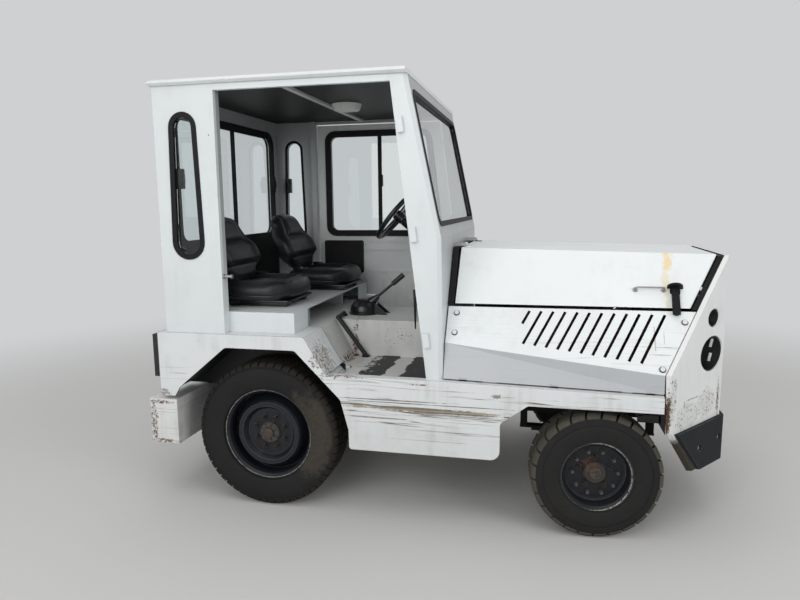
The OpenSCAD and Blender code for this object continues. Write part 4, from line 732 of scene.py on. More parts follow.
darkFinishes = {
    # colour, second colour, roughness, grain height, dust amount, dust colour, metallic, worn edges, shine
    "framePaint": ((0.007, 0.007, 0.008), (0.014, 0.013, 0.012),
        0.6, 0.3, 0.2, (0.06, 0.052, 0.042), 0.0, 0.0, 0.20),
    "rimPaint": ((0.004, 0.006, 0.011), (0.009, 0.011, 0.016),
        0.38, 0.2, 0.18, (0.05, 0.04, 0.03), 0.0, 1.0, 0.35),
    "castSteel": ((0.10, 0.085, 0.07), (0.05, 0.035, 0.025),
        0.65, 0.5, 0.4, (0.13, 0.07, 0.04), 0.2, 0.0, 0.30),
    "rustyHub": ((0.014, 0.012, 0.011), (0.040, 0.030, 0.022),
        0.7, 0.6, 0.3, (0.08, 0.058, 0.04), 0.1, 0.0, 0.20),
    "greyNut": ((0.13, 0.128, 0.122), (0.07, 0.067, 0.062),
        0.55, 0.4, 0.4, (0.09, 0.07, 0.05), 0.2, 0.0, 0.35),
    "tyreRubber": ((0.010, 0.011, 0.013), (0.019, 0.0185, 0.0185),
        0.70, 0.25, 0.10, (0.06, 0.054, 0.045), 0.0, 0.0, 0.14),
    "treadRubber": ((0.013, 0.0125, 0.012), (0.026, 0.024, 0.021),
        0.85, 0.4, 0.30, (0.06, 0.054, 0.045), 0.0, 0.0, 0.10),
    "lugRubber": ((0.035, 0.033, 0.028), (0.088, 0.082, 0.068),
        0.88, 0.4, 0.4, (0.13, 0.12, 0.10), 0.0, 0.0, 0.10),
    "sealRubber": ((0.005, 0.005, 0.006), (0.010, 0.010, 0.011),
        0.55, 0.15, 0.05, (0.05, 0.05, 0.048), 0.0, 0.0, 0.20),
    "padRubber": ((0.008, 0.0105, 0.013), (0.015, 0.018, 0.022),
        0.68, 0.35, 0.2, (0.06, 0.058, 0.052), 0.0, 0.5, 0.18),
    "blackPlastic": ((0.006, 0.0065, 0.008), (0.011, 0.011, 0.012),
        0.28, 0.1, 0.08, (0.05, 0.05, 0.048), 0.0, 0.0, 0.45),
    "blackSheet": ((0.004, 0.0045, 0.006), (0.009, 0.009, 0.010),
        0.5, 0.1, 0.10, (0.04, 0.04, 0.038), 0.0, 0.0, 0.20),
    "zinc": ((0.42, 0.42, 0.41), (0.30, 0.29, 0.27), 0.42, 0.2, 0.25, (0.16, 0.12, 0.09), 0.8, 0.0, 0.50),
    "whitePaint": ((0.70, 0.72, 0.73), (0.62, 0.64, 0.65),
        0.40, 0.1, 0.2, (0.25, 0.22, 0.18), 0.0, 0.0, 0.50),
}


rimEdges = [(0.0, 0.38, 0.2350, 0), (1.624, 0.30, 0.1635, -1), (1.586, 0.30, 0.1635, 1)]   # x, z, radius, side


def rimRings(tree, place):
    # paint chipped off the rims' outer edges
    parts = split(tree, place)
    chips = addStep(tree, addNoise(tree, place, 60.0, 6.0, 0.7), 0.42, 0.50)
    every = None
    for x, z, radius, side in rimEdges:
        across = minus(tree, parts[0], x - axleToMiddle)
        up = minus(tree, parts[2], z)
        away = addMath(tree, "SQRT", plus(tree, times(tree, across, across),
                                             times(tree, up, up)))
        off = absolute(tree, minus(tree, away, radius))
        ring = flip(tree, addStep(tree, off, 0.0015, 0.0035))
        if side:
            ring = times(tree, ring, addStep(tree, times(tree, parts[1], side), 0.0, 0.1))
        every = ring if every is None else most(tree, every, ring)
    return times(tree, every, chips)


def darkMaterial(name, values):
    colour, second, roughness, grain, dust, dustColour, metallic, edges, shine = values
    material, tree, shader, place = newMaterial(name)
    base = addMix(tree, addNoise(tree, place, 9.0, 5.0, 0.6), colour + (1,), second + (1,))
    dirt = useEffect(tree, "grime", place, Amount=dust, Low=0.1, High=1.0)
    base = addMix(tree, dirt["Mask"], base, dustColour + (1,))
    base, spots = addMarks(tree, base, place, name)
    if name == "rimPaint":
        base = addMix(tree, rimRings(tree, place), base, (0.30, 0.29, 0.27, 1))
    if edges:
        worn = useEffect(tree, "edge", place, Amount=edges, Width=0.003, Grain=90.0)
        base = addMix(tree, worn["Mask"], base, (0.26, 0.25, 0.23, 1))
    tree.links.new(base, shader.inputs["Base Color"])
    rough = plus(tree, roughness, times(tree, dirt["Mask"], 0.3))
    rough = plus(tree, rough, times(tree, spots, 0.3), clamp=True)
    tree.links.new(rough, shader.inputs["Roughness"])
    shader.inputs["Metallic"].default_value = metallic
    shader.inputs["Specular IOR Level"].default_value = shine
    pits = useEffect(tree, "grain", place, Grain=260.0, Soft=0.6)
    setBump(tree, shader, pits["Height"], grain, 0.0015)
    return material


def vinylMaterial():
    material, tree, shader, place = newMaterial("seatVinyl")
    base = addMix(tree, addNoise(tree, place, 5.0, 4.0), (0.0045, 0.0055, 0.0075, 1), (0.010, 0.011, 0.014, 1))
    tree.links.new(base, shader.inputs["Base Color"])
    rough = plus(tree, 0.30, times(tree, addNoise(tree, place, 11.0, 3.0), 0.22))
    tree.links.new(rough, shader.inputs["Roughness"])
    pebbles = useEffect(tree, "grain", place, Grain=520.0, Soft=0.35)
    creases = addNoise(tree, addStretch(tree, place, (14, 30, 14)), 1.0, 4.0, 0.6)
    height = plus(tree, times(tree, pebbles["Height"], 0.25), creases)
    setBump(tree, shader, height, 0.30, 0.004)
    return material


def glassMaterial():
    material, tree, shader, place = newMaterial("windowGlass")
    shader.inputs["Base Color"].default_value = (0.88, 0.93, 0.925, 1)
    shader.inputs["Transmission Weight"].default_value = 1.0
    shader.inputs["IOR"].default_value = 1.45
    smear = addNoise(tree, addStretch(tree, place, (6, 6, 2)), 1.0, 4.0)
    rough = times(tree, addStep(tree, smear, 0.5, 0.8), 0.06)
    tree.links.new(rough, shader.inputs["Roughness"])
    clear = addNode(tree, "ShaderNodeBsdfTransparent", {"Color": (0.92, 0.95, 0.945, 1)})
    path = addNode(tree, "ShaderNodeLightPath")
    indirect = most(tree, path.outputs["Is Shadow Ray"], path.outputs["Is Diffuse Ray"])
    mix = addNode(tree, "ShaderNodeMixShader", {0: indirect, 1: shader.outputs[0], 2: clear.outputs[0]})
    tree.links.new(mix.outputs[0], tree.nodes["Material Output"].inputs["Surface"])
    return material


def addRibs(tree, place, scale, direction):
    ribs = addNode(tree, "ShaderNodeTexWave", {"Vector": place, "Scale": scale, "Distortion": 0.0},
                   bands_direction=direction)
    return ribs.outputs["Fac"]


def lensMaterial(name, colour, transmission, roughness):
    material, tree, shader, place = newMaterial(name)
    tone = addMix(tree, addNoise(tree, place, 20.0, 3.0), colour + (1,), tuple(c * 0.8 for c in colour) + (1,))
    tree.links.new(tone, shader.inputs["Base Color"])
    shader.inputs["Roughness"].default_value = roughness
    shader.inputs["Transmission Weight"].default_value = transmission
    setBump(tree, shader, addRibs(tree, place, 40.0, "Y"), 0.25, 0.002)
    return material


def floorMaterial():
    # white cab floor with worn black grip patches and rust at the foot of the slope
    material, tree, shader, place = newMaterial("cabFloor")
    base = addMix(tree, addNoise(tree, place, 3.0, 4.0), (0.52, 0.53, 0.52, 1), (0.68, 0.69, 0.68, 1))
    dirt = useEffect(tree, "grime", place, Amount=0.55, Low=0.6, High=1.0)
    base = addMix(tree, dirt["Mask"], base, (0.24, 0.21, 0.17, 1))
    ragged = addNode(tree, "ShaderNodeVectorMath", {0: addNode(
        tree, "ShaderNodeTexNoise", {"Vector": place, "Scale": 16.0, "Detail": 5.0}).outputs["Color"],
        1: (0.5, 0.5, 0.5)}, operation="SUBTRACT")
    moved = addNode(tree, "ShaderNodeVectorMath", {0: ragged.outputs[0], "Scale": 0.06}, operation="SCALE")
    moved = addNode(tree, "ShaderNodeVectorMath", {0: place, 1: moved.outputs[0]}, operation="ADD")
    parts = split(tree, moved.outputs[0])
    level = split(tree, place)
    grip = None
    for low, high in gripPatches:
        middle, half = (low + high) / 2 - axleToMiddle, (high - low) / 2
        away = absolute(tree, minus(tree, parts[0], middle))
        patch = flip(tree, addStep(tree, away, half - 0.004, half + 0.004))
        grip = patch if grip is None else most(tree, grip, patch)
    onFloor = flip(tree, addStep(tree, level[2], 0.702, 0.706))
    grip = times(tree, grip, onFloor)
    fringe = absolute(tree, minus(tree, level[0], 0.455 - axleToMiddle))
    fringe = times(tree, flip(tree, addStep(tree, fringe, 0.03, 0.09)), 0.16)
    worn = addStep(tree, minus(tree, addNoise(tree, place, 24.0, 5.0, 0.7), fringe), 0.30, 0.34)
    grip = times(tree, grip, worn)
    base = addMix(tree, grip, base, (0.014, 0.015, 0.017, 1))
    tunnel = addNode(tree, "ShaderNodeCombineXYZ", {0: -0.16, 1: -0.235, 2: 0.80})
    specks = useEffect(tree, "blot", place, Place=tunnel.outputs[0], Size=(0.08, 0.02, 0.05),
                                              Ragged=1.6, Grain=60.0)["Mask"]
    specks = times(tree, specks, addStep(tree, addNoise(tree, place, 110.0, 2.0), 0.60, 0.66))
    base = addMix(tree, specks, base, (0.03, 0.028, 0.026, 1))
    foot = absolute(tree, minus(tree, level[0], 0.336 - axleToMiddle))
    foot = flip(tree, addStep(tree, foot, 0.01, 0.05))
    patches = useEffect(tree, "rust", place, Amount=plus(tree, times(tree, foot, 0.35), 0.02), Grain=45.0)
    base = addMix(tree, patches["Mask"], base, patches["Colour"])
    tree.links.new(base, shader.inputs["Base Color"])
    shader.inputs["Roughness"].default_value = 0.55
    setBump(tree, shader, plus(tree, times(tree, grip, 0.6), patches["Mask"]), 0.4, 0.002)
    return material


gripPatches = [(0.458, 0.597), (0.684, 0.90)]     # X from the rear axle

effects = {"edge": buildEdgeWear(), "rust": buildRust(), "scrapes": buildScratches(),
           "grime": buildGrime(), "grain": buildGrain(), "blot": buildBlot(), "inside": buildInsideShade()}
finishes = {name: paintMaterial(name, values) for name, values in paints.items()}
finishes.update({name: darkMaterial(name, values) for name, values in darkFinishes.items()})
finishes["seatVinyl"] = vinylMaterial()
finishes["windowGlass"] = glassMaterial()
finishes["cabFloor"] = floorMaterial()
finishes["amberLens"] = lensMaterial("amberLens", (0.85, 0.22, 0.03), 0.3, 0.15)
finishes["whiteLensAndGlint"] = lensMaterial("whiteLensAndGlint", (0.72, 0.73, 0.70), 0.1, 0.3)
print("finishes ready:", len(finishes))

def rearLampMaterial():
    # black housings with a red face towards the rear
    material, tree, shader, place = newMaterial("rearLamp")
    normal = facing(tree)
    face = addStep(tree, times(tree, normal[0], -1.0), 0.6, 0.8)
    red = addMix(tree, addNoise(tree, place, 30.0, 3.0), (0.42, 0.018, 0.014, 1), (0.30, 0.012, 0.010, 1))
    tree.links.new(addMix(tree, face, (0.010, 0.010, 0.011, 1), red), shader.inputs["Base Color"])
    tree.links.new(minus(tree, 0.5, times(tree, face, 0.3)), shader.inputs["Roughness"])
    setBump(tree, shader, times(tree, addRibs(tree, place, 60.0, "Z"), face), 0.3, 0.002)
    return material


finishes["rearLamp"] = rearLampMaterial()

nodeFinish = {
    "framePaint": ["chassis", "rear_axle", "front_axle", "front_springs", "knuckle_left", "knuckle_right",
                   "steering_column", "pedals"],
    "castSteel": ["engine_block", "radiator", "tie_rod", "tow_hitch"],
    "rimPaint": ["rim_rear_left", "rim_rear_right", "rim_front_left", "rim_front_right"],
    "tyreRubber": ["tyre_rear_left", "tyre_rear_right", "tyre_front_left", "tyre_front_right"],
    "sillPaint": ["fender_left", "fender_right"],
    "bumperPaint": ["rear_bumper"],
    "cabPaint": ["rear_wall", "quarter_panel_left", "quarter_panel_right", "pillar_left", "pillar_right",
                 "front_wall", "hinge_blocks", "seat_deck"],
    "doorPaint": ["door_left"],
    "roofPaint": ["roof"],
    "cabFloor": ["cab_floor"],
    "hoodPaint": ["hood_lid"],
    "panelPaint": ["side_panel_left", "side_panel_right"],
    "nosePaint": ["nose_plate"],
    "padRubber": ["bumper_pad"],
    "sealRubber": ["window_rubbers", "door_rubber", "hood_seal", "hood_catches"],
    "blackPlastic": ["lever_console", "steering_wheel", "grab_rail"],
    "blackSheet": ["ceiling", "door_pocket", "rear_trim", "front_lamps"],
    "windowGlass": ["windscreen", "rear_window", "quarter_windows", "door_window"],
    "seatVinyl": ["seat_left", "seat_right"],
    "rearLamp": ["rear_lamps"],
    "whiteLensAndGlint": ["dome_lamp"],
}


def paintNodes():
    for finish, names in nodeFinish.items():
        for name in names:
            nodes[name].data.materials.clear()
            nodes[name].data.materials.append(finishes[finish])
    left = set(nodes) - {name for names in nodeFinish.values() for name in names}
    print("CAD pieces finished, left over:", sorted(left))


# Tyres with their tread, in place of the plain solids

rearTyre = {"radius": 0.380, "width": 0.236, "rim": 0.222, "rimWidth": 0.190, "ring": 0.351, "groove": 0.008}
frontTyre = {"radius": 0.300, "width": 0.190, "rim": 0.150, "rimWidth": 0.170, "ring": 0.247, "groove": 0.012}


def tyreCore(tyre):
    r, half, rim, flange, ring = (tyre[k] for k in ("radius", "width", "rim", "rimWidth", "ring"))
    half, flange, deep = half / 2, flange / 2, tyre["groove"]
    lip = rim + 0.014
    side = [(rim + 0.0006, flange - 0.024), (rim + 0.0036, flange - 0.0137), (lip + 0.0008, flange - 0.0062),
            (lip + 0.0016, flange + 0.003), (lip + 0.0050, half - 0.0075), (lip + 0.0075, half - 0.0095),
            (lip + 0.0105, half - 0.0080), (lip + 0.030, half - 0.0020), ((r + lip) / 2, half - 0.0002),
            (ring - 0.006, half - 0.0020), (ring - 0.003, half - 0.0046), (ring, half - 0.0048),
            (ring + 0.0025, half - 0.0022)]
    if r - ring > 0.04:
        side += [(ring + 0.016, half - 0.0042), (r - 0.022, half - 0.0085)]
    side += [(r - 0.018, half - 0.0150), (r - 0.013, half - 0.022), (r - deep, half - 0.032)]
    other = [(radius, -y) for radius, y in reversed(side)]
    return addLathe(side + [(r - deep, 0.0)] + other + [(rim + 0.0006, 0.0), side[0]], 120)


def addLug(radius, top, depth, length, lean=0.0, bevel=0.0014):
    # one tread block: its section from the middle outwards, drawn out along the tread and wrapped round it
    last = len(top) - 1
    base = [(r - depth, y - math.copysign(depth, y) * 0.9 * i / last if y else y)
            for i, (r, y) in enumerate(top)]
    section = top + base[::-1]
    piece = drawOutline([(-length / 2, y, r) for r, y in section + section[:1]])
    selectMesh("SELECT")
    bpy.ops.mesh.remove_doubles(threshold=0.00005)
    selectMesh("SELECT")
    bpy.ops.mesh.edge_face_add()
    for _ in range(2):
        bpy.ops.mesh.extrude_region_move(TRANSFORM_OT_translate={"value": (length / 2, 0, 0)})
    selectMesh("SELECT")
    bpy.ops.mesh.normals_make_consistent(inside=False)
    mode("OBJECT")
    middle = (top[0][1] + top[-1][1]) / 2
    for vertex in piece.data.vertices:
        along = (vertex.co.x + lean * (vertex.co.y - middle)) / radius
        vertex.co.x, vertex.co.z = vertex.co.z * math.sin(along), vertex.co.z * math.cos(along)
    soft = piece.modifiers.new("soft", "BEVEL")
    soft.width = bevel
    soft.segments = 1
    soft.limit_method = "ANGLE"
    soft.angle_limit = math.radians(50)
    applyModifiers(piece)
    return piece


def lugRow(tyre, count, top, gap, lean=0.0, shift=0.0, side=1):
    r = tyre["radius"]
    row = [(radius, y * side) for radius, y in top]
    lug = addLug(r, row, tyre["groove"] + 0.003, 2 * math.pi * r / count - gap, lean * side)
    lug.rotation_euler = (0, shift * 2 * math.pi / count, 0)
    applyPlace(lug)
    return ringOf(lug, count)


def rearTread(tyre):
    r = tyre["radius"]
    shoulder = [(r, 0.068), (r, 0.088), (r - 0.003, 0.098), (r - 0.010, 0.106), (r - 0.021, 0.1105)]
    rows = []
    for side in (-1, 1):
        rows.append(lugRow(tyre, 54, shoulder, 0.007, shift=0.25 * side, side=side))
        rows.append(lugRow(tyre, 54, [(r, 0.024), (r, 0.060)], 0.004, lean=0.35, side=side))
    rows.append(lugRow(tyre, 54, [(r, -0.017), (r, 0.017)], 0.004, lean=-0.35))
    return rows


def frontTread(tyre):
    r = tyre["radius"]
    shoulder = [(r, 0.024), (r, 0.064), (r - 0.003, 0.074), (r - 0.010, 0.0830), (r - 0.020, 0.0885)]
    rows = []
    for side in (-1, 1):
        rows.append(lugRow(tyre, 26, shoulder, 0.011, lean=0.30, shift=0.25 * side, side=side))
    rows.append(lugRow(tyre, 26, [(r, -0.017), (r, 0.017)], 0.009, lean=0.4))
    return rows


def placeWheel(piece, side, centre, steer=0.0):
    # the piece was made about the origin with its outer face towards +Y
    turn = Matrix.Rotation(0 if side > 0 else math.pi, 4, "Z")
    piece.matrix_world = Matrix.Translation(centre) @ Matrix.Rotation(steer, 4, "Z") @ turn
    applyPlace(piece)


steering = {"kingpin": (1.605, 0.470), "rest": math.radians(6), "reach": 0.180, "height": 0.300}


def wheelPlaces():
    c, s = math.cos(steering["rest"]), math.sin(steering["rest"])
    for side, word in leftThenRight:
        yield "rear", word, side, at(0, side * 0.62, 0.38), 0.0
        x = steering["kingpin"][0] - side * steering["reach"] * s
        y = side * (steering["kingpin"][1] + steering["reach"] * c)
        yield "front", word, side, at(x, y, steering["height"]), steering["rest"]


tyreKinds = {"rear": (rearTyre, rearTread, "treadRubber"), "front": (frontTyre, frontTread, "lugRubber")}


def buildTyres():
    for axle, word, side, centre, steer in wheelPlaces():
        tyre, buildTread, treadFinish = tyreKinds[axle]
        body = f"{axle}_wheel_{word}"
        core = tyreCore(tyre)
        placeWheel(core, side, centre, steer)
        finishPiece(core, f"tyreWall_{axle}_{word}", "tyreRubber", body, 40)
        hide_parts(f"tyre_{axle}_{word}")
        tread = joinPieces(buildTread(tyre))
        placeWheel(tread, side, centre, steer)
        finishPiece(tread, f"tread_{axle}_{word}", treadFinish, body, 30)
    print("tyres done")


# Nuts and studs on the wheels

wheelNuts = {
    # name, finish, and circle, count, distance out, nut size, first nut's angle
    "rear": [("wheelNuts", "rustyHub", (0.083, 8, 0.073, 0.012, 22.5))],
    "front": [("wheelNuts", "rustyHub", (0.074, 5, 0.034, 0.011, 18)),
              ("rimNuts", "greyNut", (0.104, 10, 0.030, 0.0085, 0))],
}


def nutRing(circle, count, out, size, startAngle):
    # hexagon ends with a stud, standing on the wheel's round bosses
    nut = addRound((0, 0, 0), size, 0.010, (0, 1, 0), 0.0012, 6)
    stud = addRound((0, 0.008, 0), size * 0.5, 0.008, (0, 1, 0), 0.0008, 12)
    nut = joinPieces([nut, stud])
    angle = math.radians(startAngle)
    nut.location = (circle * math.cos(angle), out + 0.002, circle * math.sin(angle))
    applyPlace(nut)
    return ringOf(nut, count)


def buildWheelNuts():
    for axle, word, side, centre, steer in wheelPlaces():
        for name, finish, ring in wheelNuts[axle]:
            nuts = nutRing(*ring)
            placeWheel(nuts, side, centre, steer)
            finishPiece(nuts, f"{name}_{axle}_{word}", finish, f"{axle}_wheel_{word}", 30)
    print("wheel nuts done")


# Seats: padded vinyl shells with a headrest panel, bolsters and a rolled front

seat = {
    "fronts": {"left": 0.190, "right": 0.090},   # front of each cushion from the rear axle
    "side": 0.34,
    "length": 0.430,
    "width": 0.480,
    "bottom": 1.042,
    "top": 1.150,
    "deck": 1.010,
    "backFoot": -0.326,        # from the cushion's front to the back's front face, at footHeight
    "footHeight": 1.135,
    "headLean": 0.160,
    "headHeight": 1.488,
    "backThick": (0.105, 0.072),
    "seamDepth": 0.006,
}


def padGrid(cuts):
    clearSelection()
    bpy.ops.mesh.primitive_cube_add(size=2, location=(0, 0, 0))
    piece = bpy.context.object
    mode("EDIT")
    selectMesh("SELECT")
    bpy.ops.mesh.subdivide(number_cuts=cuts)
    mode("OBJECT")
    return piece


def smoothStep(value, low, high):
    t = min(1.0, max(0.0, (value - low) / (high - low)))
    return t * t * (3 - 2 * t)


def roundPad(u, v, w, n=4.0):
    # pulls a cube's point onto a rounded box
    size = (abs(u) ** n + abs(v) ** n + abs(w) ** n) ** (1 / n)
    edge = max(abs(u), abs(v), abs(w))
    k = edge / size if size > 0 else 1
    return u * k, v * k, w * k


def cushionTop(u, v):
    # height over the pad's plain top: u from rear to front, v across, both -1 to 1
    across = abs(v)
    rim = max(smoothStep(across, 0.50, 0.72) * (1 - 0.3 * smoothStep(-u, 0.2, 1.0)), smoothStep(u, 0.40, 0.62))
    crown = 0.010 * max(0.0, 1 - (across / 0.5) ** 2) * (1 - smoothStep(abs(u + 0.1), 0.3, 0.7))
    height = -0.026 + 0.028 * rim + crown
    height -= 0.034 * smoothStep(u, 0.72, 1.0) ** 2 + 0.016 * smoothStep(across, 0.80, 1.0)
    groove = min(abs(across - 0.56) if u < 0.46 else 1.0, abs(u - 0.46) if across < 0.60 else 1.0,
                 abs(u - 0.70) * 1.2 if across < 0.62 else 1.0)
    return height - 0.010 * math.exp(-(groove / 0.06) ** 2)


def shapeCushion(piece, front, y):
    rear = front - seat["length"]
    for vertex in piece.data.vertices:
        u, v, w = roundPad(*vertex.co, n=5.0)
        corner = 1.0 - 0.20 * smoothStep(u, 0.35, 1.0) ** 1.5 - 0.05 * smoothStep(-u, 0.4, 1.0)
        across = v * (seat["width"] / 2 - 0.004) * corner
        x = (front + rear) / 2 + u * ((front - rear) / 2 - 0.005 - 0.018 * v * v * (u > 0))
        top = seat["top"] + cushionTop(u, v)
        bottom = seat["bottom"] + 0.018 * smoothStep(u, 0.6, 1.0) + 0.012 * smoothStep(abs(v), 0.75, 1.0)
        vertex.co = at(x, y + across, bottom + (top - bottom) * (w + 1) / 2)


def backWidth(t):
    # half width at a share of the back's height: a narrow neck, wide bolsters, then a rounded top
    wide = 0.180 + 0.058 * smoothStep(t, 0.06, 0.30) - 0.044 * smoothStep(t, 0.46, 0.80)
    return wide * math.sqrt(max(0.02, 1 - (max(0.0, t - 0.84) / 0.30) ** 2))


def backSeam(t, v):
    # nearness to a sewn line of the back, in shares of its size
    across = abs(v)
    panel = abs(t - 0.60) if across < 0.62 else 1.0
    edges = abs(across - (0.66 - 0.10 * smoothStep(t, 0.62, 1.0))) * 0.8 if t > 0.24 else 1.0
    low = abs(t - 0.24) if across < 0.80 else 1.0
    return min(panel, edges, low)


def shapeBack(piece, front, y):
    foot = front + seat["backFoot"]
    for vertex in piece.data.vertices:
        u, v, w = roundPad(*vertex.co, n=4.5)      # u thickness, v across, w up
        t = (w + 1) / 2
        low, high = seat["backThick"]
        thick = low + (high - low) * smoothStep(t, 0.3, 1.0)
        x = foot - seat["headLean"] * t
        z = seat["footHeight"] + (seat["headHeight"] - seat["footHeight"]) * t
        face = (u + 1) / 2
        wings = smoothStep(abs(v), 0.52, 0.78) * smoothStep(t, 0.22, 0.34) * (1 - smoothStep(t, 0.50, 0.66))
        lumbar = (1 - smoothStep(abs(v), 0.40, 0.62)) * smoothStep(t, 0.26, 0.34) * (1 - smoothStep(t, 0.50, 0.58))
        head = (1 - smoothStep(abs(v), 0.42, 0.66)) * smoothStep(t, 0.62, 0.70) * (1 - smoothStep(t, 0.88, 1.0))
        bulge = 0.030 * wings + 0.010 * lumbar + 0.014 * head - 0.014 * (1 - smoothStep(t, 0.14, 0.26))
        shoulder = smoothStep(abs(v), 0.72, 1.0) * smoothStep(t, 0.6, 0.8)
        bulge -= 0.010 * math.exp(-(backSeam(t, v) / 0.045) ** 2) + 0.022 * shoulder
        vertex.co = at(x + thick * (face - 1) + bulge * face, y + v * backWidth(t), z)


swelling = {"voxel": 0.006, "frames": 12, "pressure": 3.0, "limit": 0.005}


def softenPad(piece):
    # cloth that swells a little from the shaped pad, so the vinyl looks stretched
    pick(piece)
    remesh = piece.modifiers.new("even", "REMESH")
    remesh.mode = "VOXEL"
    remesh.voxel_size = swelling["voxel"]
    applyModifiers(piece)
    before = [vertex.co.copy() for vertex in piece.data.vertices]
    held = piece.vertex_groups.new(name="held")
    low = min(co.z for co in before)
    held.add([i for i, co in enumerate(before) if co.z < low + swelling["voxel"]], 1.0, "REPLACE")
    cloth = piece.modifiers.new("cloth", "CLOTH")
    cloth.settings.quality = 4
    cloth.settings.mass = 0.4
    cloth.settings.tension_stiffness = 12
    cloth.settings.compression_stiffness = 12
    cloth.settings.bending_stiffness = 2.5
    cloth.settings.use_pressure = True
    cloth.settings.uniform_pressure_force = swelling["pressure"]
    cloth.settings.vertex_group_mass = "held"
    cloth.settings.effector_weights.gravity = 0
    cloth.collision_settings.use_self_collision = False
    cloth.point_cache.frame_start = 1
    cloth.point_cache.frame_end = swelling["frames"]
    scene = bpy.context.scene
    for number in range(1, swelling["frames"] + 1):
        scene.frame_set(number)
    bpy.context.view_layer.update()
    applyModifiers(piece)
    scene.frame_set(1)
    limit = swelling["limit"]
    for vertex, start in zip(piece.data.vertices, before):
        moved = vertex.co - start
        if moved.length > limit:
            vertex.co = start + moved.normalized() * limit
    piece.vertex_groups.clear()
    return piece


def sewSeams(piece, seamAt):
    # presses the sewn lines into the swollen pad: seamAt gives metres to the nearest line, and which way is in
    for vertex in piece.data.vertices:
        near, inward = seamAt(vertex.co)
        if near < 0.012:
            vertex.co += inward * seat["seamDepth"] * math.exp(-(near / 0.0045) ** 2)


def cushionSeams(front, y):
    middle, half = front - seat["length"] / 2, seat["length"] / 2

    def seamAt(co):
        u, v = (co.x + axleToMiddle - middle) / half, abs(co.y - y) / (seat["width"] / 2)
        near = 1.0
        if co.z > 1.095:
            if u < 0.46:
                near = abs(v - 0.56) * 0.24
            if v < 0.58:
                near = min(near, abs(u - 0.46) * half, abs(u - 0.70) * half)
        welt = abs(co.z - 1.078 - 0.010 * smoothStep(u, 0.5, 1.0))
        if u > -0.9 and co.z < 1.10 and welt < near:
            out = Vector((u * 0.3, (co.y - y) * 4, 0)).normalized()
            return welt, -out
        return near, Vector((0, 0, -1))
    return seamAt


def backSeams(front, y):
    foot = front + seat["backFoot"]
    span = seat["headHeight"] - seat["footHeight"]

    def seamAt(co):
        t = (co.z - seat["footHeight"]) / span
        if not 0 <= t <= 1 or co.x + axleToMiddle < foot - seat["headLean"] * t - 0.035:
            return 1.0, Vector((0, 0, 0))
        return backSeam(t, (co.y - y) / backWidth(t)) * 0.27, Vector((-1, 0, 0))
    return seamAt


def buildSeats():
    for side, word in leftThenRight:
        y, front = side * seat["side"], seat["fronts"][word]
        cushion = padGrid(14)
        shapeCushion(cushion, front, y)
        softenPad(cushion)
        sewSeams(cushion, cushionSeams(front, y))
        finishPiece(cushion, f"cushion_{word}", "seatVinyl", "body", 60)
        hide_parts(f"seat_{word}")
        back = padGrid(14)
        shapeBack(back, front, y)
        softenPad(back)
        sewSeams(back, backSeams(front, y))
        finishPiece(back, f"backrest_{word}", "seatVinyl", "body", 60)
        # pan, hinge brackets and slide rails under the padding
        mid, deck = front - 0.215, seat["deck"]
        parts = [addBlock(at(mid, y, deck + 0.030), (0.36, 0.36, 0.014), 0.004)]
        for offset in (-0.13, 0.13):
            parts.append(addBlock(at(mid - 0.01, y + offset, deck + 0.0125), (0.34, 0.035, 0.023), 0.003))
        for offset in (-0.180, 0.180):
            parts.append(addBlock(at(front - 0.345, y + offset, deck + 0.085), (0.07, 0.010, 0.13), 0.003))
        finishPiece(joinPieces(parts), f"seatPan_{word}", "blackPlastic", "body")
    print("seats done")


# Fittings on the hood and panels

hoodLine = {"rear": 0.953, "top": 1.323, "slope": math.radians(1.17), "half": 0.340, "lean": math.radians(36.7)}


def onSide(x, z, out=0.0, side=-1):
    # a point on the hood's leaning side at a distance along the tug and a height
    drop = hoodLine["top"] - (x - hoodLine["rear"]) * math.tan(hoodLine["slope"]) - z
    y = hoodLine["half"] + drop * math.tan(hoodLine["lean"])
    lean = hoodLine["lean"]
    return at(x, side * (y + out * math.cos(lean)), z + out * math.sin(lean))


def sideNormal(side):
    return onSide(1.8, 1.1, 1, side) - onSide(1.8, 1.1, 0, side)


hoodHandle = {"rear": 1.795, "front": 1.922, "height": 1.136, "stand": 0.026, "bar": 0.0045}


def buildHoodHandle():
    grip = hoodHandle
    for side, word in rightThenLeft:
        corners = (("rear", 0.002), ("rear", grip["stand"]), ("front", grip["stand"]), ("front", 0.002))
        ends = [onSide(grip[end], grip["height"], out, side) for end, out in corners]
        bar = addTube(ends, grip["bar"], 0.012)
        plates = [addRound(end, 0.012, 0.004, sideNormal(side), 0.001, 20) for end in (ends[0], ends[3])]
        finishPiece(joinPieces([bar] + plates), f"hoodHandle_{word}", "zinc", "hood_lid")
    print("hood handles done")


panelScrews = [(0.960, 1.018), (0.958, 0.932), (2.003, 1.002), (1.894, 0.813)]


def buildPanelScrews():
    # round-headed screws, each in a dark washer
    for side, word in rightThenLeft:
        washers, heads = [], []
        for x, z in panelScrews:
            washers.append(addRound(onSide(x, z, 0.0015, side), 0.0145, 0.003, sideNormal(side), 0.0008, 28))
            heads.append(addRound(onSide(x, z, 0.0055, side), 0.0105, 0.007, sideNormal(side), 0.0025, 24))
        finishPiece(joinPieces(washers), f"panelWashers_{word}", "castSteel", "body")
        finishPiece(joinPieces(heads), f"panelScrews_{word}", "whitePaint", "body")


# Fittings inside the cab

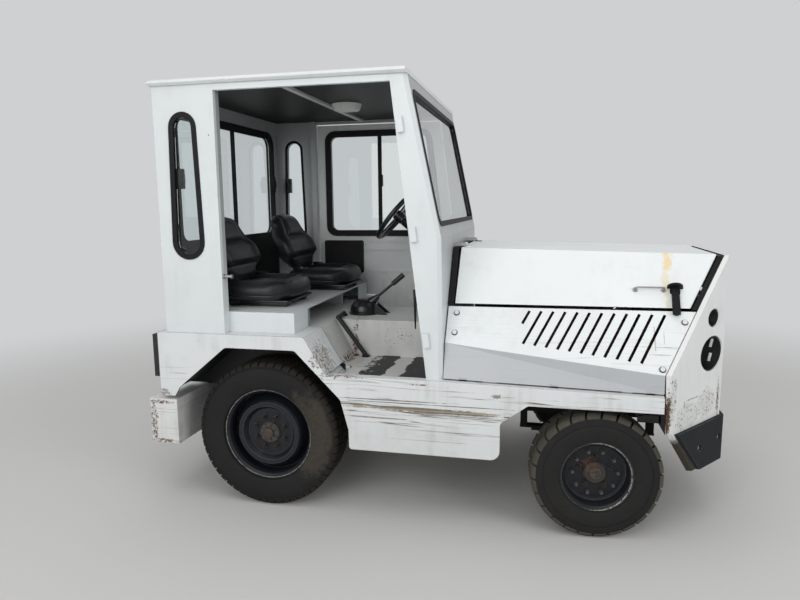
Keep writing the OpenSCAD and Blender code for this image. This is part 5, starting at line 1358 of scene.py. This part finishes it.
cabFittings = {
    "sliderBar": (0.247, 0.716, 1.690, 0.663),      # x, y, middle height, length
    "quarterLatch": (-0.425, 0.700, 1.684),
    "rearLatch": (-0.485, 0.565, 1.690),            # on the rear window's rubber
    "rearLip": (0.622, 1.318, 2.042, 0.046),        # half width, low and high edge, the ring's width
    "doorLip": ((-0.142, 0.6925, 1.328), (0.691, 0.6995, 2.052), 0.042, 0.118),
    "strikerPin": (-0.200, 0.712, 1.196),
    "pillarSeal": (0.782, -0.7155, 1.055, 0.190),   # x, y, middle height, length
}


def addRing(low, high, thin, width, corner):
    # a flat rubber ring: a rounded slab between two corners, its middle opened; thin is its flat side's axis
    low, high = at(*low), at(*high)
    slab = addBlock((low + high) / 2, [abs(b - a) for a, b in zip(low, high)], 0)
    mode("EDIT")
    bpy.ops.mesh.select_mode(type="EDGE")
    selectMesh("DESELECT")
    mode("OBJECT")
    for edge in slab.data.edges:
        a, b = (slab.data.vertices[i].co for i in edge.vertices)
        edge.select = abs(a[thin] - b[thin]) > 0.004
    mode("EDIT")
    bpy.ops.mesh.bevel(offset=corner, segments=8, affect="EDGES")
    bpy.ops.mesh.select_mode(type="FACE")
    selectMesh("DESELECT")
    mode("OBJECT")
    for face in slab.data.polygons:
        face.select = abs(face.normal[thin]) > 0.9
    mode("EDIT")
    bpy.ops.mesh.inset(thickness=width, depth=0)
    bpy.ops.mesh.bridge_edge_loops()
    bpy.ops.mesh.select_mode(type="VERT")
    mode("OBJECT")
    return slab


def buildCabFittings():
    x, y, z, length = cabFittings["sliderBar"]
    bar = addBlock(at(x, y, z), (0.026, 0.020, length), 0.003)
    grip = addBlock(at(x + 0.016, y - 0.012, z + 0.02), (0.014, 0.012, 0.08), 0.003)
    low, high, width, slope = cabFittings["doorLip"]
    ring = addRing(low, high, 1, width, 0.070)
    for vertex in ring.data.vertices:      # its front side leans back with the pillar
        if vertex.co.x > (low[0] + high[0]) / 2 - axleToMiddle:
            vertex.co.x -= (vertex.co.z - low[2]) * slope
    finishPiece(joinPieces([bar, grip, ring]), "doorWindowBar", "sealRubber", "door_left")

    x, y, z = cabFittings["quarterLatch"]
    for side, word in rightThenLeft:
        latch = [addBlock(at(x, side * y, z), (0.044, 0.032, 0.100), 0.005),
                 addBlock(at(x + 0.006, side * (y - 0.020), z), (0.022, 0.012, 0.052), 0.004)]
        finishPiece(joinPieces(latch), f"quarterLatch_{word}", "blackPlastic", "body")

    x, y, z = cabFittings["rearLatch"]
    latch = [addBlock(at(x, y, z), (0.030, 0.034, 0.110), 0.005),
             addBlock(at(x + 0.018, y - 0.005, z), (0.012, 0.022, 0.050), 0.004)]
    half, low, high, width = cabFittings["rearLip"]
    ring = addRing((-0.5045, -half, low), (-0.4965, half, high), 0, width, 0.095)
    finishPiece(joinPieces(latch + [ring]), "rearWindowLip", "sealRubber", "body")

    x, y, z, length = cabFittings["pillarSeal"]
    strip = addBlock(at(x, y, z), (0.020, 0.006, length), 0.002)
    for vertex in strip.data.vertices:
        if vertex.co.z < z:
            vertex.co.x = x - axleToMiddle + (vertex.co.x - x + axleToMiddle) * 0.3
    finishPiece(strip, "pillarSeal", "sealRubber", "body")

    x, y, z = cabFittings["strikerPin"]
    pin = addRound(at(x + 0.014, -y, z), 0.007, 0.046, (1, 0, 0), 0.0015, 20)
    collar = addRound(at(x - 0.002, -y, z), 0.012, 0.006, (1, 0, 0), 0.001, 24)
    head = addRound(at(x + 0.040, -y, z), 0.011, 0.007, (1, 0, 0), 0.0015, 24)
    finishPiece(joinPieces([pin, collar, head]), "strikerPin", "zinc", "body")
    print("cab fittings done")


# Small black bracket between the sill's end and the nose

noseBracket = {
    "y": 0.722, "thick": 0.006, "height": 0.590,
    "armX": 1.845, "webX": 1.900, "lugX": 1.805, "lugHeight": 0.6155,
    "bolts": [(0.517, 0.396), (0.365, 0.404)],      # y and z on the pad's leaning face
}


def buildNoseBracket():
    for side, word in rightThenLeft:
        # zinc bolts deep in the bumper pad's two holes
        out = Vector((0.786, side * 0.618, 0))
        bolts = [addRound(at(2.4986 - 0.787 * y, side * y, z) + out * 0.006, 0.0125, 0.010, out, 0.0015, 6)
                 for y, z in noseBracket["bolts"]]
        finishPiece(joinPieces(bolts), f"padBolts_{word}", "zinc", "body")
        y, thick, height = side * noseBracket["y"], noseBracket["thick"], noseBracket["height"]
        arm = addBlock(at(noseBracket["armX"], y, height), (0.100, thick, 0.036), 0.001)
        web = addBlock(at(noseBracket["webX"], y, height), (0.030, thick, 0.140), 0.001)
        for vertex in web.data.vertices:      # narrow at the rear, tall at the nose
            if vertex.co.x < noseBracket["webX"] - axleToMiddle:
                vertex.co.z = height + (vertex.co.z - height) * 0.30
        lug = addBlock(at(noseBracket["lugX"], y, noseBracket["lugHeight"]), (0.030, thick, 0.030), 0.001)
        finishPiece(joinPieces([arm, web, lug]), f"noseBracket_{word}", "framePaint", "body")


# What is left of the lamps inside their holes

lamps = {"y": 0.436, "head": 0.836, "turn": 1.007, "turnFloor": 2.078, "glintX": 2.160}


def buildLamps():
    for side, word in rightThenLeft:
        y = side * lamps["y"]
        # two pale strips on the headlamp housing's inner wall, standing for painted reflections
        glints = []
        for z in (lamps["head"] + 0.042, lamps["head"] - 0.030):
            inner = side * (lamps["y"] - math.sqrt(0.0767 ** 2 - (abs(z - lamps["head"]) + 0.020) ** 2) + 0.003)
            glints.append(addBlock(at(lamps["glintX"], inner, z), (0.013, 0.005, 0.042), 0.0022, (0, 0.18, 0)))
        finishPiece(joinPieces(glints), f"lampGlints_{word}", "whiteLensAndGlint", "body")
        # the broken amber lens of the indicator
        r = 0.029
        outside = [(0.002, 0.052), (r * 0.55, 0.047), (r * 0.88, 0.032), (r, 0.008), (r, 0.0)]
        inside = [(r - 0.003, 0.0), (r - 0.003, 0.008), (r * 0.80, 0.029), (r * 0.5, 0.043), (0.002, 0.048)]
        lens = addLathe(outside + inside + outside[:1], 40)
        place = Matrix.Translation(at(lamps["turnFloor"], y, lamps["turn"]))
        lens.matrix_world = place @ Matrix.Rotation(-math.pi / 2, 4, "Z")
        applyPlace(lens)
        finishPiece(lens, f"indicatorLens_{word}", "amberLens", "body")
    print("lamps done")


addCamera()
addWorld()
addLamps()
addFloor()
print("stage done")
paintNodes()
buildTyres()
buildWheelNuts()
buildSeats()
buildHoodHandle()
buildPanelScrews()
buildCabFittings()
buildNoseBracket()
buildLamps()
